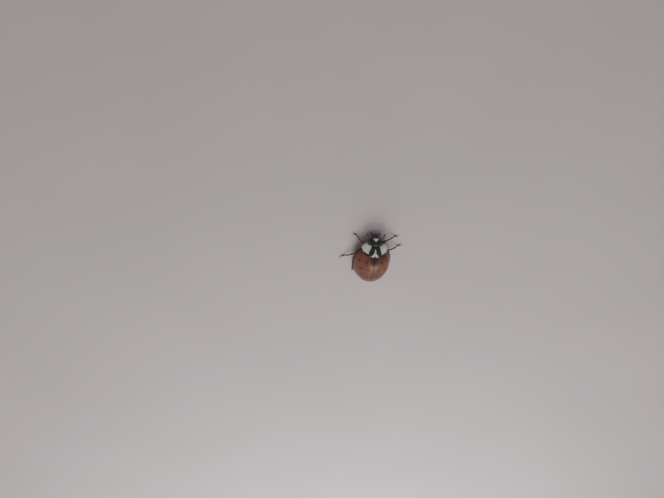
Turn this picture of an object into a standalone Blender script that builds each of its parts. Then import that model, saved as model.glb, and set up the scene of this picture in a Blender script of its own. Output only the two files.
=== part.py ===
"""An adult harlequin ladybird at life size, standing on its six feet.

The animal's front ring, trunk, wing cases, head and limbs are each modelled whole as a
rounded body, and then parted with thin cuts into the pieces that a person would name. Its
head points towards -Y, its left side is +X, and the soles of its feet lie on the plane
z = 0. A rounded body starts as a UV sphere whose poles lie on the body's long axis, and
whose rings are then moved out to the real sections.
"""

import math

import bmesh
import bpy
from mathutils import Matrix, Vector

MM = 0.001
CUT = 0.04 * MM  # width of the cuts that part one piece from the next
FAR = 5 * MM  # further out than any piece reaches, for cutters

# How finely a body is faceted: the number of faces round it, and of rings along it.
DOME_FACETS = (38, 20)  # half a face at the seam, where the cut goes
TRUNK_FACETS = (24, 14)
RING_FACETS = (26, 14)
HEAD_FACETS = (22, 12)
EGG_FACETS = (12, 8)
BAR_FACETS = (10, 6)
FOOT_FACETS = (10, 9)

# Powers of the superellipses that outlines and sections follow: 2 is a plain ellipse, and a
# higher power is squarer.
DOME_POWER = 2.15
SHOULDER_POWER = 3
TAIL_POWER = 1.85
SHIELD_POWER = 2.1
SHIELD_SIDE_POWER = 4.5
BLUNT_POWER = 6  # for ends that stay full until they are nearly closed
HEAD_POWER = 2.3
BAR_END_POWER = 7

# The closed wing cases, measured along the body from the line of their greatest width.
WIDEST_Y = 0.2 * MM
CASE_HALF_WIDTH = 2.6 * MM
CASE_FORWARD = 2.3 * MM
CASE_BACKWARD = 3.05 * MM
CASE_TOP_Z = 3.25 * MM
CASE_BASE_Z = 2.7 * MM  # height of the seam where it comes out from under the shield
MARGIN_FRONT_Z = 1.02 * MM
MARGIN_REAR_Z = 0.86 * MM
RIM = 0.04 * MM  # how far the margin's underside hangs below its edge
SHELL = 0.5 * MM  # thickness of a wing case

# The trunk that fills the wing cases, and the waist where its chest and abdomen meet.
BELLY_Z = 0.62 * MM
TAIL_RISE = 0.155 * MM
WAIST_Y = -0.12 * MM

# The shield behind the head, a crescent seen from above, and the breast under it.
SHIELD_REAR_Y = -1.72 * MM
SHIELD_FRONT_Y = -3.08 * MM
SHIELD_REAR_HALF_WIDTH = 1.9 * MM
SHIELD_FRONT_HALF_WIDTH = 1.34 * MM
SHIELD_REAR_Z = 2.8 * MM
SHIELD_FRONT_Z = 1.98 * MM
SHIELD_MARGIN_Z = 1.3 * MM
CRESCENT = 0.28 * MM  # how far the front corners reach forward of the middle
BREAST_Z = 0.76 * MM

# The little triangle between the bases of the wing cases.
SCUTELLUM_HALF_WIDTH = 0.34 * MM
SCUTELLUM_FRONT_Y = -1.95 * MM
SCUTELLUM_TIP_Y = -1.3 * MM

# The head, on an axis that runs from the neck down to the mouth.
NECK = Vector((0, -2.72, 1.7)) * MM
MOUTH = Vector((0, -3.88, 0.83)) * MM
HEAD_HALF_WIDTH = 1.0 * MM
MOUTH_HALF_WIDTH = 0.7 * MM
HEAD_HALF_HEIGHT = 0.52 * MM
EYE_CENTRE = Vector((0.76, -3.2, 1.42)) * MM
EYE_RADII = Vector((0.27, 0.3, 0.36)) * MM
LIP_CENTRE = Vector((0, -3.92, 0.74)) * MM
LIP_RADII = Vector((0.44, 0.33, 0.27)) * MM

# Joints of a feeler and of a palp on the left side, and their least radius.
THIN = 0.25 * MM
FEELER = [Vector(joint) * MM for joint in ((0.56, -3.5, 1.24), (1.0, -3.86, 1.12), (1.2, -4.36, 0.86))]
FEELER_CLUB_SWELL = 0.03 * MM
PALP = [Vector(joint) * MM for joint in ((0.4, -3.76, 0.58), (0.6, -4.22, 0.42))]
PALP_SWELL = 0.02 * MM

# Hip, knee, ankle and toe of each leg, in millimetres. The feet stand as in a walk: three
# of them reach forward while the other three are set back.
LEGS = {
    "fore_left": ((0.46, -2.56, 0.6), (1.72, -2.84, 0.72), (2.3, -3.44, 0.3), (2.82, -3.7, 0.16)),
    "fore_right": ((-0.46, -2.56, 0.6), (-1.6, -3.3, 0.74), (-2.5, -3.6, 0.3), (-3.14, -3.72, 0.16)),
    "mid_left": ((0.72, -1.36, 0.55), (2.25, -0.94, 0.6), (3.42, -0.24, 0.3), (4.14, 0.2, 0.16)),
    "mid_right": ((-0.72, -1.36, 0.55), (-2.2, -1.66, 0.6), (-3.2, -2.0, 0.3), (-3.86, -2.28, 0.16)),
    "hind_left": ((0.84, -0.1, 0.55), (1.98, 0.72, 0.58), (2.3, 1.62, 0.3), (2.24, 2.36, 0.16)),
    "hind_right": ((-0.84, -0.1, 0.55), (-1.78, 1.1, 0.58), (-2.1, 2.24, 0.3), (-2.18, 3.0, 0.16)),
}
COXA_RADII = Vector((0.38, 0.31, 0.24)) * MM
FEMUR_RADIUS = 0.26 * MM
FEMUR_SWELL = 0.05 * MM

PAINTS = {
    "wing_case": ((0.24, 0.06, 0.022, 1), 0.28),
    "shield": ((0.62, 0.6, 0.5, 1), 0.3),
    "black_shell": ((0.012, 0.012, 0.013, 1), 0.3),
    "eye": ((0.006, 0.006, 0.007, 1), 0.15),
    "underside": ((0.1, 0.035, 0.02, 1), 0.4),
    "leg": ((0.16, 0.06, 0.03, 1), 0.35),
}


def clear_scene():
    for obj in list(bpy.data.objects):
        bpy.data.objects.remove(obj)


def collection(name):
    made = bpy.data.collections.new(name)
    bpy.context.scene.collection.children.link(made)
    return made


def paints():
    """One material for each finish."""
    made = {}
    for name, (colour, roughness) in PAINTS.items():
        paint = bpy.data.materials.new(name)
        paint.use_nodes = True
        shader = paint.node_tree.nodes["Principled BSDF"]
        shader.inputs["Base Color"].default_value = colour
        shader.inputs["Roughness"].default_value = roughness
        shader.inputs["Metallic"].default_value = 0.0
        made[name] = paint
    return made


def rounded(share, power):
    """A superellipse's other coordinate: 1 at the middle and 0 at either end."""
    return max(0.0, 1 - abs(share) ** power) ** (1 / power)


def squared(value, power):
    """A unit circle's coordinate moved out to a superellipse's, keeping its sign."""
    return math.copysign(abs(value) ** (2 / power), value)


def between(share, first, last):
    return first + (last - first) * share


def mirrored(point, side):
    return Vector((point.x * side, point.y, point.z))


def new_object(name, made):
    """An object from a bmesh, which is then freed."""
    mesh = bpy.data.meshes.new(name)
    made.to_mesh(mesh)
    made.free()
    return bpy.data.objects.new(name, mesh)


def rounded_body(name, shape, facets):
    """A UV sphere with its poles on Y, each of whose points goes where shape says.

    shape takes a point's place along the body, from -1 to 1, and which way it faces across
    and up, as the cosine and sine of its angle round the ring.
    """
    made = bmesh.new()
    bmesh.ops.create_uvsphere(made, u_segments=facets[0], v_segments=facets[1], radius=1)
    bmesh.ops.rotate(made, verts=made.verts, matrix=Matrix.Rotation(math.pi / 2, 3, "X"))
    for vert in made.verts:
        along = max(-1.0, min(1.0, vert.co.y))
        facing = Vector((vert.co.x, vert.co.z))
        across, up = facing.normalized() if facing.length > 1e-6 else (0.0, 0.0)
        vert.co = shape(along, across, up)
    obj = new_object(name, made)
    obj.data.shade_smooth()
    return obj


def case_half_width(y, inset=0.0):
    """Half the width of the closed wing cases at a place along the body."""
    if y < WIDEST_Y:
        narrowing = rounded((WIDEST_Y - y) / (CASE_FORWARD - inset), SHOULDER_POWER)
    else:
        narrowing = rounded((y - WIDEST_Y) / (CASE_BACKWARD - inset), TAIL_POWER)
    return (CASE_HALF_WIDTH - inset) * narrowing


def margin_z(y):
    """Height of the wing cases' lower edge, which falls a little towards the tail."""
    share = (y + CASE_FORWARD - WIDEST_Y) / (CASE_FORWARD + CASE_BACKWARD)
    return between(share, MARGIN_FRONT_Z, MARGIN_REAR_Z)


def crest_z(y, along):
    """Height of the wing cases along the seam. It stays high in front, under the shield."""
    if along < 0:
        high = CASE_TOP_Z - (CASE_TOP_Z - CASE_BASE_Z) * (y / SHIELD_REAR_Y) ** 2
        return between(rounded(along, BLUNT_POWER), margin_z(y), high)
    return between(rounded(along, DOME_POWER), margin_z(y), CASE_TOP_Z)


def case_shape(along, across, up):
    """Outer surface of both wing cases as one dome with a nearly flat base."""
    y = WIDEST_Y + along * (CASE_BACKWARD if along > 0 else CASE_FORWARD)
    edge = margin_z(y)
    rise = crest_z(y, along) - edge if up > 0 else RIM
    x = case_half_width(y) * squared(across, DOME_POWER)
    return Vector((x, y, edge + rise * squared(up, DOME_POWER)))


def trunk_shape(grow):
    """Surface of the chest and abdomen, which fill the dome and round off the belly below."""
    inset = SHELL + CUT - grow

    def shape(along, across, up):
        y = WIDEST_Y + along * ((CASE_BACKWARD if along > 0 else CASE_FORWARD) - inset)
        edge = margin_z(y)
        if up > 0:
            rise = crest_z(y, along) - inset * rounded(along, BLUNT_POWER) - edge
        else:
            rise = edge - BELLY_Z - TAIL_RISE * abs(along) ** 3 + grow
        x = case_half_width(y, inset) * squared(across, DOME_POWER)
        return Vector((x, y, edge + rise * squared(up, DOME_POWER)))

    return shape


def front_ring_shape(grow):
    """Surface of the whole front ring of the body, shield above and breast below."""

    def shape(along, across, up):
        middle = (SHIELD_REAR_Y + SHIELD_FRONT_Y) / 2
        y = middle + along * ((SHIELD_REAR_Y - SHIELD_FRONT_Y) / 2 + grow)
        share = (along + 1) / 2
        width = between(share**0.8, SHIELD_FRONT_HALF_WIDTH, SHIELD_REAR_HALF_WIDTH) + grow
        x = width * rounded(along, SHIELD_SIDE_POWER) * squared(across, SHIELD_POWER)
        if up > 0:
            end = between(share**0.75, SHIELD_FRONT_Z, SHIELD_REAR_Z) + grow
        else:
            end = BREAST_Z - grow
        height = abs(squared(up, SHIELD_POWER)) * rounded(along, BLUNT_POWER)
        z = between(height, SHIELD_MARGIN_Z, end)
        return Vector((x, y - CRESCENT * (x / SHIELD_FRONT_HALF_WIDTH) ** 2, z))

    return shape


def head_shape(grow):
    """Surface of the head, a little squared across and narrower at the mouth."""
    down = (MOUTH - NECK).normalized()
    outward = down.cross(Vector((1, 0, 0)))

    def shape(along, across, up):
        share = (1 - along) / 2
        centre = between(share, NECK, MOUTH) - grow * along * down
        ring = rounded(along, HEAD_POWER)
        width = between(share, HEAD_HALF_WIDTH, MOUTH_HALF_WIDTH) + grow
        x = width * ring * squared(across, HEAD_POWER)
        out = (HEAD_HALF_HEIGHT + grow) * ring * squared(up, HEAD_POWER)
        return centre + Vector((x, 0, 0)) + outward * out

    return shape


def egg_shape(centre, radii, grow=0.0):
    """Surface of an egg-shaped piece."""

    def shape(along, across, up):
        ring = rounded(along, 2)
        x = (radii.x + grow) * ring * across
        z = (radii.z + grow) * ring * up
        return centre + Vector((x, (radii.y + grow) * along, z))

    return shape


def limb_shape(start, end, radius, swell=0.0, grow=0.0):
    """Surface of a round-ended bar that reaches its radius past both joints.

    It may swell in its middle, and it is flat where it would go below the floor.
    """
    line = end - start
    turn = line.to_track_quat("Y", "Z")
    reach = line.length / 2 + radius + grow

    def shape(along, across, up):
        closing = math.sqrt(1 - abs(along) ** BAR_END_POWER)
        ring = (radius + swell * rounded(along, 2) + grow) * closing
        place = (start + end) / 2 + turn @ Vector((ring * across, along * reach, ring * up))
        place.z = max(place.z, 0.0)
        return place

    return shape


class Ladybird:
    """The collections and paints, and the ways in which a piece or a cutter is made."""

    def __init__(self):
        self.pieces = collection("harlequin_ladybird")
        self.cutters = collection("cutters")
        self.paint = paints()

    def piece(self, obj, paint):
        self.pieces.objects.link(obj)
        obj.data.materials.clear()
        obj.data.materials.append(self.paint[paint])
        return obj

    def cutter(self, obj):
        self.cutters.objects.link(obj)
        obj.hide_render = True
        obj.display_type = "WIRE"
        return obj

    def beyond(self, name, point, direction):
        """A cutter that takes everything past the plane through point, facing direction."""
        made = bmesh.new()
        bmesh.ops.create_cube(made, size=2 * FAR)
        turn = direction.to_track_quat("Z", "Y").to_matrix()
        bmesh.ops.translate(made, vec=(0, 0, FAR), verts=made.verts)
        bmesh.ops.rotate(made, verts=made.verts, matrix=turn)
        bmesh.ops.translate(made, vec=point, verts=made.verts)
        return self.cutter(new_object(name, made))

    def parting(self, name, point, direction):
        """Two such cutters with a thin cut between them: what is past it, and what is short."""
        half = direction.normalized() * CUT / 2
        past = self.beyond(f"past_{name}", point - half, direction)
        short = self.beyond(f"short_of_{name}", point + half, -direction)
        return past, short

    def apply(self, obj, operation, *others):
        """Booleans obj with each of the others, and keeps the result as obj's own mesh."""
        for other in others:
            modifier = obj.modifiers.new(other.name, "BOOLEAN")
            modifier.operation = operation
            modifier.solver = "EXACT"
            modifier.object = other
        graph = bpy.context.evaluated_depsgraph_get()
        result = bpy.data.meshes.new_from_object(obj.evaluated_get(graph))
        obj.modifiers.clear()
        obj.data = result

    def cut(self, obj, *others):
        self.apply(obj, "DIFFERENCE", *others)


def make_leg(bird, leg, joints):
    """Coxa, femur, tibia and tarsus of a leg. Gives the cutters that clear a way for it."""
    hip, knee, ankle, toe = (Vector(point) * MM for point in joints)
    past_knee, short_of_knee = bird.parting(f"{leg}_knee", knee, (toe + ankle) / 2 - hip)
    past_ankle, short_of_ankle = bird.parting(f"{leg}_ankle", ankle, toe - knee)
    coxa = rounded_body(f"{leg}_coxa", egg_shape(hip, COXA_RADII), EGG_FACETS)
    coxa_room = rounded_body(f"{leg}_coxa_room", egg_shape(hip, COXA_RADII, CUT), EGG_FACETS)
    thigh = limb_shape(hip, knee, FEMUR_RADIUS, FEMUR_SWELL)
    wider_thigh = limb_shape(hip, knee, FEMUR_RADIUS, FEMUR_SWELL, CUT)
    femur = rounded_body(f"{leg}_femur", thigh, BAR_FACETS)
    femur_room = rounded_body(f"{leg}_femur_room", wider_thigh, BAR_FACETS)
    tibia = rounded_body(f"{leg}_tibia", limb_shape(knee, ankle, FEMUR_RADIUS), BAR_FACETS)
    tarsus = rounded_body(f"{leg}_tarsus", limb_shape(ankle, toe, FEMUR_RADIUS), FOOT_FACETS)
    bird.piece(coxa, "black_shell")
    bird.cutter(coxa_room)
    bird.cutter(femur_room)
    bird.cut(bird.piece(femur, "leg"), coxa_room, past_knee)
    bird.cut(bird.piece(tibia, "leg"), short_of_knee, past_ankle)
    bird.cut(bird.piece(tarsus, "leg"), short_of_ankle)
    return coxa_room, femur_room


def make_feeler(bird, label, side, head_room, eye_room):
    """The stem of an antenna, which springs from beside the eye, and its club."""
    root, elbow, tip = (mirrored(joint, side) for joint in FEELER)
    past, short = bird.parting(f"antenna_{label}_bend", elbow, tip - root)
    stem = rounded_body(f"antenna_{label}_stem", limb_shape(root, elbow, THIN), BAR_FACETS)
    club_shape = limb_shape(elbow, tip, THIN, FEELER_CLUB_SWELL)
    club = rounded_body(f"antenna_{label}_club", club_shape, BAR_FACETS)
    bird.cut(bird.piece(stem, "leg"), head_room, eye_room, past)
    bird.cut(bird.piece(club, "leg"), short)


def make_palp(bird, label, side, head_room, lip_room):
    """A palp, the short feeler that hangs beside the mouth."""
    root, tip = (mirrored(joint, side) for joint in PALP)
    palp = rounded_body(f"palp_{label}", limb_shape(root, tip, THIN, PALP_SWELL), BAR_FACETS)
    bird.cut(bird.piece(palp, "leg"), head_room, lip_room)


def make_head(bird):
    """The head with its eyes, mouthparts, antennae and palps. Gives the room it takes."""
    head = bird.piece(rounded_body("head", head_shape(0.0), HEAD_FACETS), "black_shell")
    head_room = bird.cutter(rounded_body("head_room", head_shape(CUT), HEAD_FACETS))
    lips = rounded_body("mouthparts", egg_shape(LIP_CENTRE, LIP_RADII), EGG_FACETS)
    lip_room = rounded_body("mouth_room", egg_shape(LIP_CENTRE, LIP_RADII, CUT), EGG_FACETS)
    bird.cutter(lip_room)
    bird.cut(bird.piece(lips, "black_shell"), head_room)
    rooms = [head_room]
    for label, side in (("left", 1), ("right", -1)):
        centre = mirrored(EYE_CENTRE, side)
        bird.piece(rounded_body(f"eye_{label}", egg_shape(centre, EYE_RADII), EGG_FACETS), "eye")
        eye_room = rounded_body(f"eye_{label}_room", egg_shape(centre, EYE_RADII, CUT), EGG_FACETS)
        rooms.append(bird.cutter(eye_room))
        make_feeler(bird, label, side, head_room, eye_room)
        make_palp(bird, label, side, head_room, lip_room)
    bird.cut(head, *rooms[1:])
    return rooms


def make_front_ring(bird, head_rooms, leg_rooms):
    """The shield above, and the breast below it that carries the fore legs."""
    margin = Vector((0, 0, SHIELD_MARGIN_Z))
    above, below = bird.parting("shield_margin", margin, Vector((0, 0, 1)))
    shield = bird.piece(rounded_body("pronotum", front_ring_shape(0.0), RING_FACETS), "shield")
    breast = bird.piece(rounded_body("breast", front_ring_shape(0.0), RING_FACETS), "black_shell")
    bird.cut(shield, below, *head_rooms)
    bird.cut(breast, above, *head_rooms, *leg_rooms["fore_left"], *leg_rooms["fore_right"])
    return bird.cutter(rounded_body("front_ring_room", front_ring_shape(CUT), RING_FACETS))


def make_trunk(bird, ring_room, leg_rooms):
    """Chest and abdomen under the wing cases."""
    behind, before = bird.parting("waist", Vector((0, WAIST_Y, 0)), Vector((0, 1, 0)))
    chest = bird.piece(rounded_body("chest", trunk_shape(0.0), TRUNK_FACETS), "black_shell")
    abdomen = bird.piece(rounded_body("abdomen", trunk_shape(0.0), TRUNK_FACETS), "underside")
    every_room = [room for rooms in leg_rooms.values() for room in rooms]
    hind_rooms = [*leg_rooms["hind_left"], *leg_rooms["hind_right"]]
    bird.cut(chest, behind, ring_room, *every_room)
    bird.cut(abdomen, before, *hind_rooms)
    return bird.cutter(rounded_body("trunk_room", trunk_shape(CUT), TRUNK_FACETS))


def scutellum_bar(bird, name, grow):
    """A three-sided bar that stands upright through the seam, with its point to the tail."""
    made = bmesh.new()
    bmesh.ops.create_cone(made, cap_ends=True, segments=3, radius1=1, radius2=1, depth=2 * MM)
    wide = (SCUTELLUM_HALF_WIDTH + 1.6 * grow) / math.cos(math.pi / 6)
    long = (SCUTELLUM_TIP_Y - SCUTELLUM_FRONT_Y + 2.5 * grow) / 1.5
    bmesh.ops.scale(made, vec=(wide, long, 1), verts=made.verts)
    middle = (0, SCUTELLUM_FRONT_Y + 0.5 * long, CASE_BASE_Z)
    bmesh.ops.translate(made, vec=middle, verts=made.verts)
    return bird.cutter(new_object(name, made))


def make_wing_cases(bird, ring_room, trunk_room):
    """The two wing cases and the scutellum, cut from one dome along the seam."""
    plate = bird.piece(rounded_body("scutellum", case_shape, DOME_FACETS), "black_shell")
    bird.apply(plate, "INTERSECT", scutellum_bar(bird, "scutellum_bar", 0.0))
    bird.cut(plate, trunk_room, ring_room)
    plate_room = scutellum_bar(bird, "scutellum_room", CUT)
    for label, side in (("left", 1), ("right", -1)):
        seam = Vector((side * CUT / 2, 0, 0))
        other_half = bird.beyond(f"other_half_of_{label}", seam, Vector((-side, 0, 0)))
        case = bird.piece(rounded_body(f"elytron_{label}", case_shape, DOME_FACETS), "wing_case")
        bird.cut(case, other_half, trunk_room, ring_room, plate_room)


def stand_on_origin(bird):
    """Moves the whole animal so that the middle of its bounding box stands on the origin."""
    corners = [vert.co for obj in bird.pieces.objects for vert in obj.data.vertices]
    low, high = (Vector(end(co[axis] for co in corners) for axis in range(3)) for end in (min, max))
    shift = Vector((-(low.x + high.x) / 2, -(low.y + high.y) / 2, -low.z))
    for obj in [*bird.pieces.objects, *bird.cutters.objects]:
        obj.data.transform(Matrix.Translation(shift))


def main():
    clear_scene()
    bird = Ladybird()
    leg_rooms = {leg: make_leg(bird, leg, joints) for leg, joints in LEGS.items()}
    head_rooms = make_head(bird)
    ring_room = make_front_ring(bird, head_rooms, leg_rooms)
    trunk_room = make_trunk(bird, ring_room, leg_rooms)
    make_wing_cases(bird, ring_room, trunk_room)
    stand_on_origin(bird)


main()
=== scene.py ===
"""A harlequin ladybird at life size: its finished pieces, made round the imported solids.

Lengths below are in millimetres in the beetle's own frame: the seam of its wing cases lies
at x = 0, its left side is +X, its head points towards -Y, and its feet stand at z = 0.
The lights, and the sizes that a user may change, are in metres.
Every shell is closed, and its faces are turned outwards when it is made.
"""

import math

import bpy
import numpy as np
from mathutils import Matrix, Vector


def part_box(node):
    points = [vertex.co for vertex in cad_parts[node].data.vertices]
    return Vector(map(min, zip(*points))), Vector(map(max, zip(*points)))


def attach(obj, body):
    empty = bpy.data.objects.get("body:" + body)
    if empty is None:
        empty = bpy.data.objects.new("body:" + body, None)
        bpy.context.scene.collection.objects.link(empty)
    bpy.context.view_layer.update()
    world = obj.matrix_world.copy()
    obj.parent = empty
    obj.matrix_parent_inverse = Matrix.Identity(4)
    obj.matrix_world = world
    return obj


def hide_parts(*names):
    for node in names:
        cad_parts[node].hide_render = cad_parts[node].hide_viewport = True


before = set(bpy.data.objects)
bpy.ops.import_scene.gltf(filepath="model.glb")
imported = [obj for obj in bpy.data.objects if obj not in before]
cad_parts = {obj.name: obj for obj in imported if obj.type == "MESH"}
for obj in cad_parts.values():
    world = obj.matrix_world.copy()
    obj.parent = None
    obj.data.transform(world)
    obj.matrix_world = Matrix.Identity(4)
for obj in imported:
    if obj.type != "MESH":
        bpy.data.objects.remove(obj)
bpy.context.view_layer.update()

bl_info = {
    "name": "Harlequin Ladybird",
    "version": (1, 0, 0),
    "blender": (4, 5, 0),
    "location": "View3D > Sidebar > Ladybird",
    "description": "Makes a life-size harlequin ladybird, one group of pieces at a time",
    "category": "Object",
}

MM = 0.001  # metres
TAU = 2 * math.pi
SIDES = (("left", 1), ("right", -1))

# The closed wing cases, as in the solids.
WIDEST_Y = 0.2
CASE_HALF_WIDTH = 2.6
CASE_FORWARD = 2.3
CASE_BACKWARD = 3.05
CASE_TOP_Z = 3.25
CASE_BASE_Z = 2.7
MARGIN_FRONT_Z = 1.02
MARGIN_REAR_Z = 0.86
DOME_POWER = 2.15
SHOULDER_POWER = 3
TAIL_POWER = 1.85
BLUNT_POWER = 6

# The belly, and the waist where chest and abdomen meet.
BELLY_Z = 0.62
TAIL_RISE = 0.155
WAIST_Y = -0.12
FLAP_FRONT = 0.5  # width of the flap that each wing case folds under its margin
FLAP_REAR = 0.22

# The shield behind the head, and the breast under it.
SHIELD_REAR_Y = -1.72
SHIELD_FRONT_Y = -3.08
SHIELD_REAR_HALF_WIDTH = 1.9
SHIELD_FRONT_HALF_WIDTH = 1.34
SHIELD_REAR_Z = 2.8
SHIELD_FRONT_Z = 1.98
SHIELD_MARGIN_Z = 1.3
SHIELD_POWER = 2.1
SHIELD_SIDE_POWER = 4.5
SHIELD_REAR_POWER = 8
CRESCENT = 0.28  # how far the shield's sides bend forward
SHOULDER_REACH = 0.2  # how far the wing cases' shoulders do, to meet it
BREAST_Z = 0.76

# The head, on an axis that runs from the neck down to the mouth.
NECK = np.array((0, -2.72, 1.7))
MOUTH = np.array((0, -3.88, 0.83))
HEAD_LENGTH = float(np.linalg.norm(MOUTH - NECK))
HEAD_DOWN = (MOUTH - NECK) / HEAD_LENGTH
HEAD_OUT = np.cross(HEAD_DOWN, (1, 0, 0))
HEAD_AXES = np.array(((1, 0, 0), HEAD_DOWN, HEAD_OUT))
HEAD_HALF_WIDTH = 1.0
MOUTH_HALF_WIDTH = 0.7
HEAD_HALF_HEIGHT = 0.52
HEAD_POWER = 2.3
EYE_CENTRE = np.array((0.76, -3.2, 1.42))
EYE_RADII = np.array((0.27, 0.3, 0.36))

# Hip, knee, ankle and toe of each leg.
LEGS = {
    "fore_left": ((0.46, -2.56, 0.6), (1.72, -2.84, 0.72), (2.3, -3.44, 0.3), (2.82, -3.7, 0.16)),
    "fore_right": ((-0.46, -2.56, 0.6), (-1.6, -3.3, 0.74), (-2.5, -3.6, 0.3), (-3.14, -3.72, 0.16)),
    "mid_left": ((0.72, -1.36, 0.55), (2.25, -0.94, 0.6), (3.42, -0.24, 0.3), (4.14, 0.2, 0.16)),
    "mid_right": ((-0.72, -1.36, 0.55), (-2.2, -1.66, 0.6), (-3.2, -2.0, 0.3), (-3.86, -2.28, 0.16)),
    "hind_left": ((0.84, -0.1, 0.55), (1.98, 0.72, 0.58), (2.3, 1.62, 0.3), (2.24, 2.36, 0.16)),
    "hind_right": ((-0.84, -0.1, 0.55), (-1.78, 1.1, 0.58), (-2.1, 2.24, 0.3), (-2.18, 3.0, 0.16)),
}
COXA_RADII = np.array((0.38, 0.31, 0.24))

# Where the beetle's own frame starts: the solids' wing cases give the seam and the tail.
CASE_LOW, CASE_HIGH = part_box("elytron_left")
SEAM_X = (CASE_LOW.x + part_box("elytron_right")[1].x) / 2
START = np.array((SEAM_X, CASE_HIGH.y - (WIDEST_Y + CASE_BACKWARD) * MM, 0.0))


# ---- Curves and profiles ----


def rounded(share, power):
    """A superellipse's other coordinate: 1 at the middle and 0 at either end."""
    return np.maximum(0.0, 1 - np.abs(share) ** power) ** (1 / power)


def squared(value, power):
    """A unit circle's coordinate moved out to a superellipse's, keeping its sign."""
    return np.sign(value) * np.abs(value) ** (2 / power)


def between(share, first, last):
    """The value that lies a share of the way from first to last."""
    return first + (last - first) * share


def ramp(value, start, end):
    """0 at start and 1 at end, with a smooth rise between."""
    share = np.clip((value - start) / (end - start), 0, 1)
    return share * share * (3 - 2 * share)


def bell(value, width):
    """1 at zero, falling away smoothly on both sides."""
    return np.exp(-((value / width) ** 2))


def mound(x, y, middle, width):
    """A bell over a place in plan."""
    return bell(np.hypot(x - middle[0], y - middle[1]), width)


def unit(vectors):
    """The same directions at a length of 1."""
    return vectors / np.maximum(np.linalg.norm(vectors, axis=-1, keepdims=True), 1e-9)


def stacked(*coordinates):
    """Points from coordinates that are spread over the same grid."""
    return np.stack(np.broadcast_arrays(*coordinates), -1).astype(float)


def mirrored(points, side):
    """Points given for the left side, moved to the side that is asked for."""
    return np.asarray(points, float) * (side, 1, 1)


def left_half(points):
    """Points of the right side moved to their mirror images on the left."""
    return np.where((True, False, False), np.abs(points), points)


def profile(shares, values):
    """A smooth curve, read at shares of its length, through values that stand at even steps."""
    values = np.asarray(values, float)
    place = np.clip(shares, 0, 1) * (len(values) - 1)
    first = np.clip(place.astype(int), 0, len(values) - 2)
    step = (place - first).reshape((-1,) + (1,) * (values.ndim - 1))
    padded = np.concatenate((2 * values[:1] - values[1:2], values, 2 * values[-1:] - values[-2:-1]))
    a, b, c, d = (padded[first + shift] for shift in range(4))
    return b + step / 2 * (c - a + step * (2 * a - 5 * b + 4 * c - d + step * (3 * (b - c) + d - a)))


def crowded(first, last, count):
    """Sines of even steps from first to last, which crowd together towards -1 and 1."""
    return np.sin(np.linspace(first, last, count))


def towards_ends(count, reach=0.985):
    """Shares from nearly 0 to nearly 1 that crowd together at both ends."""
    return (1 + crowded(-reach * math.pi / 2, reach * math.pi / 2, count)) / 2


def around_ring(count):
    """Angles of evenly spaced points round a ring, as a row."""
    return np.linspace(0, TAU, count, endpoint=False)[None]


def line_distance(x, y, lines):
    """Distance in plan to the nearest of some broken lines, which are drawn on both sides."""
    nearest = np.full(np.shape(x), 1e3)
    for line in lines:
        for start, end in zip(line, line[1:]):
            nearest = np.minimum(nearest, -bar_depth(np.abs(x), y, start, end, 0, 0))
    return nearest


def bar_depth(x, y, start, end, start_radius, end_radius):
    """How far inside a round-ended bar each place lies in plan. It is negative outside."""
    dx, dy = end[0] - start[0], end[1] - start[1]
    share = np.clip(((x - start[0]) * dx + (y - start[1]) * dy) / (dx * dx + dy * dy), 0, 1)
    away = np.hypot(x - start[0] - share * dx, y - start[1] - share * dy)
    return between(share, start_radius, end_radius) - away


# ---- Shells ----


class Shell:
    """A closed surface. Its faces are quads and triangles, with their corners' places on it."""

    def __init__(self, points, faces, places, along=None, lie=None):
        volume = 0.0
        for corners in faces:
            for step in range(1, corners.shape[1] - 1):
                a, b, c = (points[corners[:, number]] for number in (0, step, step + 1))
                volume += np.einsum("ij,ij", a, np.cross(b, c))
        if volume < 0:
            faces = [corners[:, ::-1] for corners in faces]
            places = [place[:, ::-1] for place in places]
        self.points, self.faces, self.places = points, faces, places
        self.along = np.zeros(len(points)) if along is None else along
        self.lie = np.zeros((len(points), 3)) if lie is None else lie


def cell_places(row, column, rows, columns):
    """Where the corners of each cell of a grid lie on their shell, as shares of it."""
    u = np.stack((column, column + 1, column + 1, column), -1) / columns
    v = np.stack((row, row, row + 1, row + 1), -1) / rows
    return np.stack((u, v), -1)


def tube(rings):
    """A shell from rings of points, closed by a point at each end."""
    count, around = rings.shape[:2]
    centres = rings.mean(1)
    points = np.concatenate((rings.reshape(-1, 3), centres[[0, -1]]))
    row, column = np.mgrid[0 : count - 1, 0:around].reshape(2, -1)
    after = (column + 1) % around
    here, there = row * around, (row + 1) * around
    quads = np.stack((here + column, here + after, there + after, there + column), -1)
    quad_places = cell_places(row + 1, column, count + 1, around)
    column = np.arange(around)
    after = (column + 1) % around
    last = (count - 1) * around
    pole = np.full(around, count * around)
    first_cap = np.stack((pole, after, column), -1)
    last_cap = np.stack((pole + 1, last + column, last + after), -1)
    u = np.stack((column + 0.5, column + 1, column), -1) / around
    first_v, last_v = (
        np.tile(corners, (around, 1)) / (count + 1) for corners in ((0, 1, 1), (count + 1, count, count))
    )
    cap_places = np.concatenate((np.stack((u, first_v), -1), np.stack((u[:, [0, 2, 1]], last_v), -1)))
    along = np.repeat(np.linspace(0, 1, count), around)
    lie = np.repeat(unit(np.gradient(centres, axis=0)), around, axis=0)
    return Shell(
        points,
        [quads, np.concatenate((first_cap, last_cap))],
        [quad_places, cap_places],
        np.concatenate((along, (0, 1))),
        np.concatenate((lie, lie[[0, -1]])),
    )


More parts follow.
